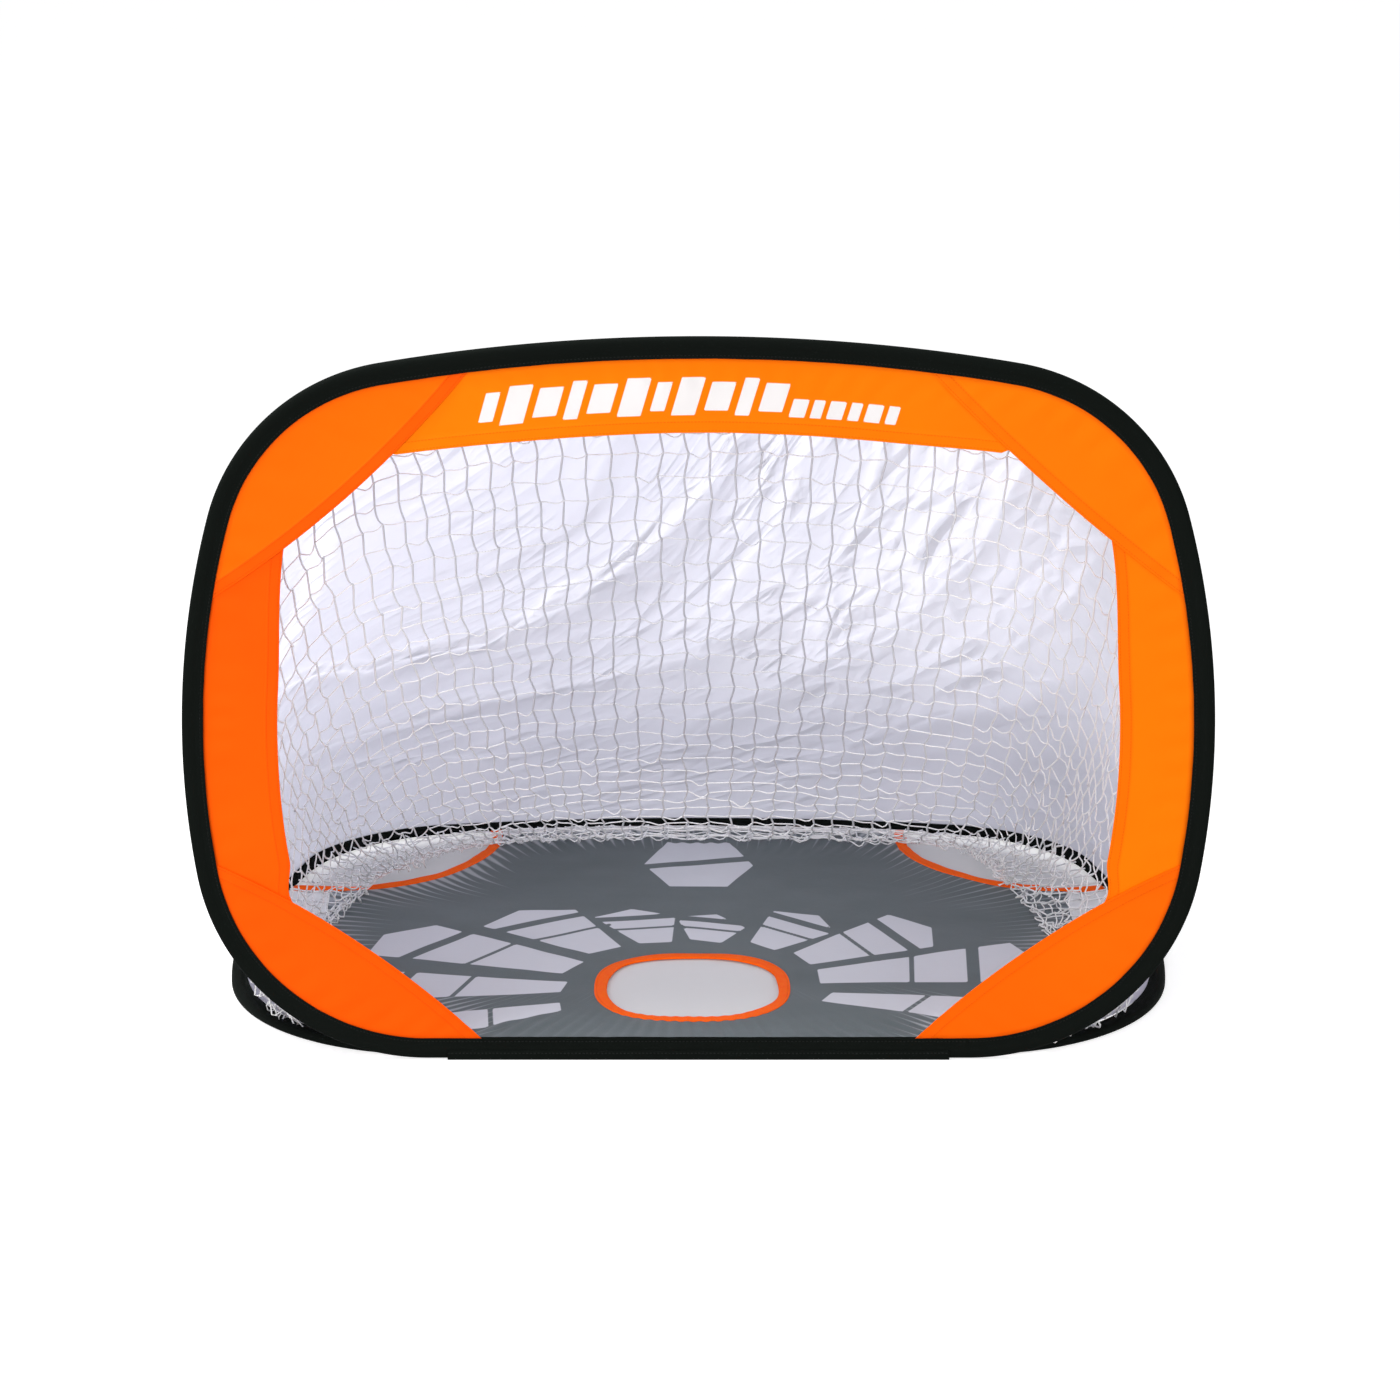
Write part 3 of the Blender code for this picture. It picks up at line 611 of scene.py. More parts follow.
def front_cloth(name, x, h, near, along, from_edge, soft, tone, hem, shown=-1.0):
    """Orange cloth in the front frame, thicker where it is doubled along its hem. Its tone number sets its
    painted light and shade.
    """
    thickness = CLOTH + (HEM - CLOTH) * smoothstep(HEM_WIDTH + soft, HEM_WIDTH - soft, from_edge)
    middle = in_front(x, h, near + front_wave(x, h))
    values = {"along": along[:, None], "from_edge": from_edge, "across": loop_inset(x, h)}
    values.update({"print": shown, "tone": tone, "hem": hem})
    points, faces, both = two_sided(middle, np.array([0.0, -1.0, 0.0]), thickness, values)
    piece = add_piece(name + "_cloth", points, faces, both, "front_frame", "orange_fabric", ORANGE)
    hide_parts(name)
    return piece


def make_band(name, start, end, tone, hem, shown=None):
    """A strip of cloth along the inside of the sleeve, hemmed. It narrows under the corner pieces."""
    spacing = 0.0015 if shown else 0.0035
    from_edge = hem_rows(BAND_INSET - TUCKED_INSET, min(spacing, 0.0024))
    length = lengths_along(loop_points(np.linspace(start, end, 200), 0.05))[-1]
    angles = even_angles(start, end, int(length / spacing), BAND_INSET)
    outer = loop_points(angles, 0)
    inset = BAND_INSET - from_edge
    wobble = 0.0006 * soft_noise(*(11 * outer.T), 31)
    side = np.degrees(np.minimum(angles, math.pi - angles))
    if shown:
        narrower = np.where(angles < math.pi / 2, 0.014, 0.010) * smoothstep(86, 70, side)
    else:
        narrower = 0.016 * smoothstep(5, 19, side) + 0.010 * smoothstep(-8, -24, side)
    inset = inset + (wobble - narrower)[:, None] * smoothstep(0.02, 0.08, inset)
    x, h = from_line(outer, -directions(angles), inset)
    along = lengths_along(loop_points(angles, 0.05))
    drawn = shown(x, h) if shown else -1.0
    piece = front_cloth(name, x, h, -LAYER, along, from_edge, 0.0003, tone, hem, drawn)


def arc_between(start, end, bulge, count):
    """Points on the arc from start to end that bulges to the right of that way."""
    chord = end - start
    length = np.linalg.norm(chord)
    right = np.array([chord[1], -chord[0]]) / length
    radius = (length**2 / 4 + bulge**2) / (2 * bulge)
    centre = (start + end) / 2 + (bulge - radius) * right
    turns = math.atan2(right[1], right[0]) + math.asin(length / (2 * radius)) * np.linspace(-1, 1, count)
    return centre + radius * directions(turns)


def make_gusset(name, outer, bulge, side, tone, hem):
    """A corner piece over the bands' ends: outer is its edge in the sleeve, and the free edge closes it."""
    count = 150
    lengths = lengths_along(outer)
    even = np.linspace(0, lengths[-1], count)
    outer = np.stack([np.interp(even, lengths, outer[:, part]) for part in (0, 1)], -1)
    edge = arc_between(outer[-1], outer[0], bulge, count)[::-1]
    reach = np.linalg.norm(outer - edge, axis=1)
    steps = hem_rows(0.13)
    share = np.minimum(steps / np.maximum(reach[:, None], 1e-6), np.linspace(0, 1, len(steps)))
    flat_x, h = from_line(edge, outer - edge, share)
    from_edge = line_distance(flat_x, h, edge)
    x = side * flat_x
    loose = 0.0010 * smoothstep(0.0, 0.03, loop_inset(x, h) - 0.019) * smoothstep(0.03, 0.0, from_edge)
    near = LAYER + loose * (0.6 + 0.4 * soft_noise(x * 17, h * 17, 33))
    piece = front_cloth(name, x, h, near, lengths_along(edge), from_edge, 0.0004, tone, hem)
    chord = outer[-1] - outer[0]
    wide = float(np.linalg.norm(chord))
    (off_x, off_h), (unit_x, unit_h) = (outer - outer[0]).T, chord / wide
    deep = float(np.abs(off_x * unit_h - off_h * unit_x).max()) + 0.5 * bulge


def make_gussets():
    head = loop_points(even_angles(HEAD_GUSSET_SIDE, HEAD_GUSSET_CROWN, 300), TUCKED_INSET)
    foot_corner = loop_points(even_angles(-math.pi / 2, FOOT_GUSSET_SIDE, 300), TUCKED_INSET)
    foot = np.vstack([[FOOT_GUSSET_REACH, TUCKED_INSET], foot_corner])
    # The tone numbers are painted light and shade: lighter at the upper right, deeper at the left and low
    # down.
    make_gusset("top_left_gusset", head, HEAD_GUSSET_BULGE, -1, 0.42, 0.62)
    make_gusset("top_right_gusset", head, HEAD_GUSSET_BULGE - 0.006, 1, 0.88, 0.2)
    make_gusset("bottom_left_gusset", foot, FOOT_GUSSET_BULGE, -1, 0.0, 0.12)
    make_gusset("bottom_right_gusset", foot, FOOT_GUSSET_BULGE, 1, 0.32, 0.12)


def make_hinge_tape():
    """A tape under the front sleeve's foot and up over its face, sewn through along both edges."""
    under = [(-0.0045, -0.0007), (-0.0045, -0.0001), (0.0030, -0.0001), (0.0044, 0.0004), (0.00470, 0.0016)]
    face = [(0.00472, 0.0050), (0.00470, 0.0085), (0.00500, 0.0088), (0.00540, 0.0084), (0.00548, 0.0050)]
    back = [(0.00545, 0.0010), (0.00500, -0.0004), (0.00400, -0.0009), (0.0000, -0.0009)]
    near, lift = np.array(under + face + back).T
    x = np.linspace(-HINGE_TAPE_LENGTH / 2, HINGE_TAPE_LENGTH / 2, 240)[:, None]
    values = {"along": x, "across": TAPE_SEAM + (lift - 0.006)}
    lift = lift + 0.0002 * soft_noise(x * 40, 0 * x, 41) * smoothstep(0.004, 0.0085, lift)
    points = in_front(x, lift, near)
    points[..., 2] = np.maximum(points[..., 2], 0.0001)
    faces = grid_faces(*lift.shape, False, True)
    riding = ("front_frame", "black_tape", TAPE, False, end_caps(*lift.shape))
    piece = add_piece("hinge_tape_sewn", points, faces, values, *riding)
    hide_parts("hinge_tape")


def floor_wave(x, h):
    """How far the panel stands over its middle plane: tight in the sleeve, and lower inside."""
    inset = loop_inset(x, h)
    free = smoothstep(0.017, 0.075, inset)
    sag = -0.0022 * free * smoothstep(-0.01, 0.05, corner_hole_distance(x, h, REAR_HOLE))
    broad = 0.0009 * soft_noise(x * 11 + 5, h * 11, 51) + 0.0005 * soft_noise(x * 29, h * 29, 52)
    turn = np.arctan2(h - 0.3, x)
    pucker = 0.0009 * np.sin(turn * 120 + 2.2 * soft_noise(x * 12, h * 12, 53))
    near_sleeve = smoothstep(0.018, 0.028, inset) * (1 - smoothstep(0.045, 0.12, inset))
    return sag + free * broad + near_sleeve * pucker


def five_hole_size(off):
    """1 on the edge of a rounded square about the origin, and growing evenly outwards."""
    return (np.abs(off) ** FIVE_HOLE_POWER).sum(-1) ** (1 / FIVE_HOLE_POWER)


def five_hole_distance(x, h):
    """Distance outwards from the middle hole's edge."""
    off = np.stack([x, h], -1) - FIVE_HOLE_CENTRE
    return np.linalg.norm(off, axis=-1) * (1 - 1 / np.maximum(five_hole_size(off / FIVE_HOLE_HALF), 1e-6))


def corner_hole_distance(x, h, hole):
    """Distance outwards from a corner hole's edge. A hole is its centre's x and h, its radius, and how far
    its edge is drawn in opposite the corner."""
    off_x, off_h = np.abs(x) - hole[0], h - hole[1]
    away = np.hypot(off_x, off_h)
    facing = np.maximum(-(off_x + off_h) / (math.sqrt(2) * np.maximum(away, 1e-9)), 0)
    return away - hole[2] + hole[3] * facing**4


def panel_inside(x, h):
    """How far points lie inside the panel's cloth."""
    corners = [corner_hole_distance(x, h, hole) for hole in (REAR_HOLE, FRONT_HOLE)]
    holes = np.minimum(five_hole_distance(x, h), np.minimum(*corners)) - 0.0015
    return np.minimum(loop_inset(x, h) - TUCKED_INSET, holes)


# The pale shards round the middle hole: direction, where they start and end, narrow and wide half widths
SHARDS = (
    (-12, 0.128, 0.335, 0.012, 0.036), (12, 0.122, 0.345, 0.018, 0.050),
    (35, 0.128, 0.290, 0.018, 0.050), (58, 0.128, 0.235, 0.016, 0.043),
    (84, 0.122, 0.200, 0.016, 0.036), (107, 0.122, 0.225, 0.016, 0.040),
    (131, 0.128, 0.275, 0.018, 0.051), (156, 0.124, 0.340, 0.018, 0.051),
    (180, 0.120, 0.352, 0.014, 0.043), (203, 0.132, 0.300, 0.010, 0.030),
)
HEXAGON = [(-0.058, 0.520), (-0.030, 0.452), (0.030, 0.452), (0.058, 0.520), (0.034, 0.592), (-0.034, 0.592)]
HEXAGON_STRIPE = [(-0.060, 0.505), (0.060, 0.535), (0.060, 0.550), (-0.060, 0.520)]


def pale_print(x, h):
    """Distance into the pale shapes: shards that fan out round the middle hole and a hexagon, striped."""
    pale, dark = [HEXAGON], [HEXAGON_STRIPE]
    for degrees, inner, outer, narrow, wide in SHARDS:
        axes = directions(math.radians(degrees) + np.array([0, math.pi / 2]))
        shard = [(inner, -narrow), (outer - 0.034, -wide), (outer, -0.1 * wide), (outer - 0.012, wide)]
        pale.append(FIVE_HOLE_CENTRE + np.array(shard + [(inner + 0.006, narrow)]) @ axes)
        for share, thick in ((0.36, 0.005), (0.62, 0.013)):
            low = inner + share * (outer - inner)
            high = low + 0.12 * (outer - inner)
            stripe = [(low, -wide), (low + thick, -wide), (high + thick, wide), (high, wide)]
            dark.append(FIVE_HOLE_CENTRE + np.array(stripe) @ axes)
    into_pale = np.max([polygon_distance(x, h, shape) for shape in pale], axis=0)
    return np.minimum(into_pale, -np.max([polygon_distance(x, h, shape) for shape in dark], axis=0))


def make_panel():
    """The printed cloth, cut out of a grid whose edge points are drawn onto the cut lines."""
    spacing = 0.003
    x, h = np.meshgrid(np.arange(-0.447, 0.4471, spacing), np.arange(0.009, 0.6541, spacing), indexing="ij")
    inside = panel_inside(x, h)
    kept_face = (inside[:-1, :-1] > 0) | (inside[1:, :-1] > 0) | (inside[1:, 1:] > 0) | (inside[:-1, 1:] > 0)
    for _ in range(3):
        slope_x, slope_h = slopes(panel_inside, x, h)
        move = np.where(inside < 0, np.clip(-inside, 0, 0.002), 0) / np.maximum(slope_x**2 + slope_h**2, 1e-6)
        x, h = x + move * slope_x, h + move * slope_h
        inside = panel_inside(x, h)
    top_faces = grid_faces(*x.shape)[kept_face.ravel()]
    used = np.unique(top_faces)
    top_faces = np.searchsorted(used, top_faces)
    x, h = x.ravel()[used], h.ravel()[used]
    above = floor_wave(x, h)
    count = len(used)
    upper = on_floor(x, h, above + PANEL / 2)
    lower = on_floor(x, h, above - PANEL / 2)
    sides = np.sort(np.stack([top_faces, np.roll(top_faces, -1, axis=1)], -1).reshape(-1, 2), axis=1)
    edges, times = np.unique(sides, axis=0, return_counts=True)
    first, second = edges[times == 1].T
    rim = np.stack([first, second, second + count, first + count], -1)
    faces = np.concatenate([top_faces, top_faces[:, ::-1] + count, rim])
    rear = corner_hole_distance(x, h, REAR_HOLE)
    margin = (0.034 + 0.043 * smoothstep(0.60, 0.32, h)) * smoothstep(0.0, 0.13, h)
    from_margin = loop_inset(x, h) - margin
    printed = np.minimum(from_margin, np.minimum(rear, corner_hole_distance(x, h, FRONT_HOLE)) - 0.011)
    ray = np.arctan2(h - 0.27, np.abs(x) - 0.02) * 84 / math.pi + 0.9 * soft_noise(x * 9, h * 9, 55)
    reach = 0.052 + 0.040 * smoothstep(0.52, 0.40, h) + 0.022 * soft_noise(np.floor(ray) * 0.71, 0, 56)
    reach = reach + 0.012 * soft_noise(x * 7, h * 7, 57)
    faded = np.clip(1.0 - np.minimum(from_margin, rear - 0.004) / reach, -0.4, 1)
    patchy = 0.75 + 0.5 * soft_noise(x * 8 + 2, h * 8, 58)
    shown = patchy * np.maximum(smoothstep(0.10, 0.16, h), smoothstep(0.15, 0.24, np.abs(x)))
    values = {"along": x, "across": h, "print": printed, "pale": pale_print(x, h), "ray": ray}
    values["ray_width"] = 0.52 * faded * shown - 0.14
    both = {word: np.tile(value, 2) for word, value in values.items()}
    points = np.concatenate([upper, lower])
    piece = add_piece("printed_floor_cloth", points, faces, both, "floor_frame", "printed_panel", PRINT)
    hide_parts("target_panel")


# A folded tape over a cloth edge, as (outward, above)
BINDING_SECTION = mirrored(
    [(0.0, 0.0003), (0.0003, 0.0009), (0.0011, 0.00118), (0.0035, 0.00122), (0.0075, 0.00120)]
    + [(0.0098, 0.00105), (0.0112, 0.00118), (0.0119, 0.0010), (0.0120, 0.0005)]
)


def make_binding(name, line, outward, closed, seed):
    """Tape carried along a hole's edge, its folded edge a little uneven."""
    reach, swell = BINDING_SECTION.T
    lengths = lengths_along(line)
    place = lengths / lengths[-1] * 2 * math.pi
    uneven = 0.0009 * np.sin(3 * place + seed) + 0.0006 * np.sin(7 * place + 2 * seed)
    uneven = uneven + 0.0004 * soft_noise(*(60 * line.T), seed)
    if not closed:
        uneven = uneven * smoothstep(0, 0.03, lengths) * smoothstep(0, 0.03, lengths[-1] - lengths)
    inner = 1 - smoothstep(0.0, 0.009, reach)
    x, h = from_line(line, outward, reach + uneven[:, None] * inner)
    lift = 0.0005 * soft_noise(line[:, 0] * 25 + 3, line[:, 1] * 25, seed + 1)
    points = on_floor(x, h, floor_wave(x, h) + swell + lift[:, None] * inner)
    caps = () if closed else end_caps(*x.shape)
    values = {"along": lengths[:, None], "across": reach}
    finish = ("floor_frame", "orange_binding", BINDING)
    piece = add_piece(name + "_tape", points, grid_faces(*x.shape, closed, True), values, *finish, caps=caps)
    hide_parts(name)


def make_bindings():
    spokes = directions(np.linspace(0, 2 * math.pi, 241)[:-1])
    line = FIVE_HOLE_CENTRE + spokes / five_hole_size(spokes)[:, None] * FIVE_HOLE_HALF
    ahead = np.roll(line, -1, axis=0) - np.roll(line, 1, axis=0)
    outward = unit_rows(ahead[:, ::-1] * (1, -1))
    make_binding("five_hole_binding", line, outward, True, 2)
    steps = 1440
    fine = np.linspace(0, 2 * math.pi, steps + 1)[:-1]
    for row, hole in (("rear", REAR_HOLE), ("front", FRONT_HOLE)):
        centre, radius = np.array(hole[:2]), hole[2]
        edges = [centre + reach * directions(fine) for reach in (radius, radius + BINDING_WIDTH)]
        clear = np.minimum(*(loop_inset(*edge.T) for edge in edges)) > SLEEVE_WIDTH + 0.0006
        first = next(step for step in range(steps) if clear[step] and not clear[step - 1])
        count = int(clear.sum())
        turns = fine[first] + np.linspace(0, (count - 1) * 2 * math.pi / steps, 90)
        spokes = directions(turns)
        facing = np.maximum(-spokes.sum(1) / math.sqrt(2), 0)[:, None]
        for word, side, seed in (("left", -1, 5), ("right", 1, 9)):
            mirror = np.array([side, 1.0])
            line = (centre + (radius - hole[3] * facing**4) * spokes) * mirror
            make_binding(f"{row}_{word}_hole_binding", line, spokes * mirror, False, seed + (row == "rear"))


def net_landing(angles):
    """How far inside the floor loop the net comes down, by the loop's normal from right to left."""
    return np.interp(np.degrees(angles), *zip(*NET_LANDING))


def hang_net(pins, feet, rests, counts, across_rest):
    """Places of the net's knots, hung between their pins and feet by their own weight: strings only pull."""
    columns, rows = len(counts), int(counts.max()) + 1
    number, counts = np.arange(rows), counts[:, None]
    step = np.minimum(number / counts, 1.0)[..., None]
    knots = pins[:, None, :] * (1 - step) + feet[:, None, :] * step
    knots = knots + 0.002 * rng.standard_normal(knots.shape) * np.sin(math.pi * step)
    free = ((number > 0) & (number < counts)).astype(float)[..., None]
    down = (number[:-1] < counts).astype(float)
    both = ((number <= counts[:-1]) & (number <= counts[1:]) & (number > 0)).astype(float)
    x, y, z = (knots[..., part] for part in range(3))

    def pull(first, second, rest, real):
        way = knots[second] - knots[first]
        length = np.linalg.norm(way, axis=-1, keepdims=True) + 1e-9
        too_long = np.maximum(length - rest[..., None], 0) * real[..., None]
        share = way / length * too_long / np.maximum(free[first] + free[second], 1e-6)
        knots[first] += share * free[first]
        knots[second] -= share * free[second]

    before = knots.copy()
    drop = np.array([0.0, 0.0, -0.00045])
    steps, turns = ((260, 14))
    every = slice(None)
    for moment in range(steps):
        speed = (knots - before) * (0.96 if moment < steps * 0.7 else 0.85)
        before = knots.copy()
        knots += (speed + drop) * free
        for _ in range(turns):
            for start in (0, 1):
                a, b = slice(start, rows - 1, 2), slice(start + 1, rows, 2)
                pull((every, a), (every, b), rests[:, a], down[:, a])
            for start in (0, 1):
                a, b = slice(start, columns - 1, 2), slice(start + 1, columns, 2)
                pull(a, b, across_rest[a], both[a])
        z[:] = np.where(free[..., 0] > 0, np.maximum(z, FLOOR_Z + 0.0022), z)
        depth = y - FRONT_Y + z
        short = np.clip(0.021 - loop_inset(x, depth), 0, 0.02) * free[..., 0]
        slope_x, slope_h = slopes(loop_inset, x, depth)
        x += slope_x * short
        y += slope_h * short / 2
        z += slope_h * short / 2
    return knots


class Strings:
    """Tubes along lines of points, collected into one mesh."""

    def __init__(self):
        self.points, self.faces, self.along, self.bright, self.count = [], [], [], [], 0

    def add(self, line, radius, least, reference, sides=4):
        """A tube along a line that is first lifted clear of the panel."""
        above = floor_wave(line[:, 0], line[:, 1] - FLOOR_Y) + STRING_LIFT
        line[:, 2] = np.maximum(line[:, 2], FLOOR_Z + above)
        ahead = unit_rows(np.gradient(line, axis=0))
        first = unit_rows(np.cross(ahead, reference))
        second = np.cross(ahead, first)
        turns = (np.arange(sides) * 2 * math.pi / sides)[:, None]
        ring = np.cos(turns) * first[:, None, :] + np.sin(turns) * second[:, None, :]
        self.points.append((line[:, None, :] + radius * ring).reshape(-1, 3))
        self.faces.append(grid_faces(len(line), sides, False, True, self.count))
        self.along.append(np.repeat(lengths_along(line), sides))
        self.bright.append(np.repeat(net_painted_light(line, least), sides))
        self.count += len(line) * sides

    def add_across(self, chain, rests, seed):
        line = string_line(chain, rests, np.array([0.0, 1.0, -1.0]), seed)
        # Cross strings get more painted light than the upright ones, as if lit from above.
        self.add(line, NET_CROSS_STRING, 0.50, np.array([0.02, 1.0, -1.0]))


def string_line(knots, rests, sideways, seed, samples=5):
    """A string through its knots. Where it is longer than the way between two, it swings out in a loop."""
    chance = np.random.default_rng(seed)
    start, way = knots[:-1], np.diff(knots, axis=0)
    length = np.linalg.norm(way, axis=1)
    spare = np.minimum(np.sqrt(np.maximum(rests**2 - length**2, 0) * 0.30), 0.010)[:, None]
    turn = chance.uniform(0, 2 * math.pi, len(start))[:, None]
    unit = unit_rows(way)
    first = unit_rows(np.cross(unit, sideways))
    swing = np.cos(turn) * first + np.sin(turn) * np.cross(unit, first)
    swing[:, 2] -= 1.5
    swing = unit_rows(swing)
    curl = chance.uniform(-1, 1, len(start))[:, None] * 0.0006
    share = np.linspace(0, 1, samples + 1)[:-1]
    arch, ripple = np.sin(math.pi * share), np.sin(2 * math.pi * share)
    line = start[:, None, :] + share[:, None] * way[:, None, :]
    line = line + (spare * arch)[..., None] * swing[:, None, :]
    line = line + ((curl + 0.3 * spare) * ripple)[..., None] * first[:, None, :]
    return np.vstack([line.reshape(-1, 3), knots[-1:]])


def make_net():
    """A string net from pins in the front sleeve down onto the panel, and along it to the floor sleeve."""
    angles = even_angles(NET_START, math.pi - NET_START, NET_COLUMNS, SLEEVE_WIDTH)
    top_x, top_h = loop_points(angles, NET_PIN_INSET).T
    pins = in_front(top_x, top_h, -NET_PIN_DEPTH)
    fine = np.linspace(NET_START, math.pi - NET_START, 4001)
    lengths = lengths_along(loop_points(fine, SLEEVE_WIDTH))
    places = np.linspace(0, lengths[-1], NET_COLUMNS)
    off = places - lengths[-1] / 2
    drawn_in = smoothstep(0.05, 0.45, np.abs(off)) * smoothstep(1.0, 0.60, np.abs(off))
    drawn_in = drawn_in * np.where(off > 0, *NET_DRAWN_IN)
    foot_angles = np.interp(places - np.sign(off) * drawn_in, lengths, fine)
    foot = loop_points(foot_angles, net_landing(foot_angles)).T
    feet = on_floor(*foot, floor_wave(*foot) + NET_LIFT)
    outer = on_floor(*loop_points(foot_angles, NET_PIN_INSET).T, NET_LIFT)
    low = smoothstep(0.42, 0.16, top_h)
    slack = NET_SLACK + NET_SIDE_SLACK * low * (0.75 + 0.25 * soft_noise(angles * 9, 0, 61))
    length = np.linalg.norm(feet - pins, axis=1) * (1 + slack)
    counts = np.maximum(2, np.round(length / NET_ROW)).astype(int)
    number = np.arange(int(counts.max()) + 1)
    rests = np.full((NET_COLUMNS, len(number)), NET_ROW)
    rests[np.arange(NET_COLUMNS), counts - 1] = length - NET_ROW * (counts - 1)
    loose = 1.025 + 0.16 * (low[1:] + low[:-1]) / 2
    pitch, foot_pitch = (np.linalg.norm(np.diff(ends, axis=0), axis=1)[:, None] for ends in (pins, feet))
    way_down = np.clip(number / counts[1:, None], 0, 1)
    across_rest = (pitch * (1 - way_down) + foot_pitch * way_down) * loose[:, None]
    knots = hang_net(pins, feet, rests, counts, across_rest)
    sideways = unit_rows(np.gradient(pins, axis=0))
    shift = 0.0016 * (number % 2 * 2 - 1) + 0.0008 * rng.standard_normal(knots.shape[:2])
    inner = (number > 0) & (number < counts[:, None])
    knots = knots + (shift * inner)[..., None] * sideways[:, None, :]
    knots[..., 1:] += (0.0010 * inner * rng.standard_normal(knots.shape[:2]))[..., None]
    strings = Strings()
    flat_knots = []
    for column, count in enumerate(counts):
        share = np.linspace(0, 1, NET_FLAT_ROWS)[1:, None]
        lying = feet[column] * (1 - share) + outer[column] * share
        lying[:-1, 2] = FLOOR_Z + floor_wave(lying[:-1, 0], lying[:-1, 1] - FLOOR_Y) + NET_LIFT
        lying[:-1, :2] += 0.002 * rng.standard_normal((NET_FLAT_ROWS - 2, 2))
        flat_knots.append(lying)
        chain = np.vstack([knots[column, : count + 1], lying])
        spare = 1.02 * np.linalg.norm(np.diff(chain, axis=0), axis=1)
        spare[:count] = rests[column, :count]
        line = string_line(chain, spare, sideways[column], 1000 + column)
        # Upright strings get the least painted light, as if shaded.
        strings.add(line, NET_STRING, 0.18, np.array([1.0, 0.0, 0.02]))
    for row in number[1:]:
        there = np.flatnonzero(row <= counts)
        for run in np.split(there, np.flatnonzero(np.diff(there) > 1) + 1):
            if len(run) > 1:
                seed = 3000 + 50 * row + run[0]
                strings.add_across(knots[run, row], across_rest[run[:-1], row], seed)
    for row in range(NET_FLAT_ROWS - 2):
        chain = np.array(flat_knots)[:, row]
        strings.add_across(chain, np.linalg.norm(np.diff(chain, axis=0), axis=1) * 1.05, 5000 + row)
    points, faces = np.concatenate(strings.points), np.concatenate(strings.faces)
    values = {"along": np.concatenate(strings.along), "bright": np.concatenate(strings.bright)}
    piece = add_piece("string_net", points, faces, values, "floor_frame", "white_net", NET, turn=False)
    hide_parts("net")
    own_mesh(piece)


def net_painted_light(line, least):
    """Painted light and shade on the string: painted grey, as if in shade, where it hangs against the pale
    cloth, and painted white, as if lit, low down and at the sides.
    The least painted light is what it has in the middle."""
    x, _, z = line.T
    low = smoothstep(0.26, 0.08, z)
    right = smoothstep(0.10, 0.34, x) * smoothstep(0.66, 0.40, z)
    left = smoothstep(-0.10, -0.36, x) * smoothstep(0.52, 0.34, z)
    return np.clip(least + 0.8 * (low + right + left), 0, 1)


# The cloth's main folds as in the CAD source, and the sharper creases between them: half width and height in
# tenths of a millimetre, and points as (across in millimetres, thousandths of the way up from the floor loop)
FOLDS = (
    (260, 110, (-425, 500), (-320, 420), (-165, 484), (-75, 582), (20, 772), (50, 1000)),
    (240, 80, (-430, 330), (-360, 254), (-232, 315), (-14, 388), (62, 468)),
    (240, 90, (-90, 80), (22, 250), (88, 310), (215, 504), (292, 839), (300, 1000)),
    (200, 70, (129, 473), (200, 613), (260, 855), (280, 1000)),
    (220, 70, (100, 100), (218, 251), (326, 320), (390, 470)),
)
CREASES = (
    (55, -40, (-405, 492), (-325, 418), (-210, 452), (-124, 520), (-60, 620)),
    (75, -34, (-60, 620), (-10, 720), (34, 860)),
    (42, 28, (-190, 455), (-150, 505), (-128, 560)),
    (50, -28, (-412, 285), (-305, 271), (-232, 315), (-150, 339)),
    (50, -22, (-150, 339), (-14, 388), (51, 423), (62, 468)),
    (50, -32, (-30, 168), (22, 259), (88, 310), (170, 434), (215, 504)),
    (46, 30, (215, 504), (264, 648), (292, 839)),
    (48, -36, (129, 473), (147, 530), (200, 613)),
    (40, 26, (200, 613), (227, 720), (260, 900)),
    (40, -24, (129, 473), (165, 500), (205, 530)),
    (60, 30, (171, 900), (150, 696), (130, 591), (90, 500)),
    (42, -26, (210, 900), (197, 772), (174, 680), (140, 600)),
    (40, 22, (235, 900), (210, 760), (180, 660)),
    (45, -30, (68, 880), (53, 763), (30, 680)),
    (50, 20, (100, 860), (75, 700), (30, 550), (-20, 460)),
    (45, -26, (337, 787), (326, 691), (290, 560)),
    (45, 22, (365, 740), (350, 600), (310, 460)),
    (46, -30, (164, 181), (218, 251), (255, 292)),
    (50, -26, (300, 270), (360, 340), (410, 420)),
    (50, -20, (-222, 214), (-112, 251), (-14, 295)),
    (60, 22, (-390, 220), (-300, 190), (-200, 170)),
    (50, 20, (20, 130), (100, 160), (170, 150)),
    (60, 14, (-330, 830), (-360, 660), (-400, 560)),
)
SLANT = math.sqrt(2) * LOOP_HEIGHT


def ridges(x, up, rows):
    """The distances from lines across the cloth, and the ridges along them, or furrows below zero."""
    distances, heights = [], []
    for half_width, height, *line in rows:
        away = line_distance(x, up, [(across / 1000, SLANT * (share / 1000)) for across, share in line])
        distances.append(away)
        heights.append(height / 10000 * np.exp(-((away / (half_width / 10000)) ** 2)))
    return distances, heights


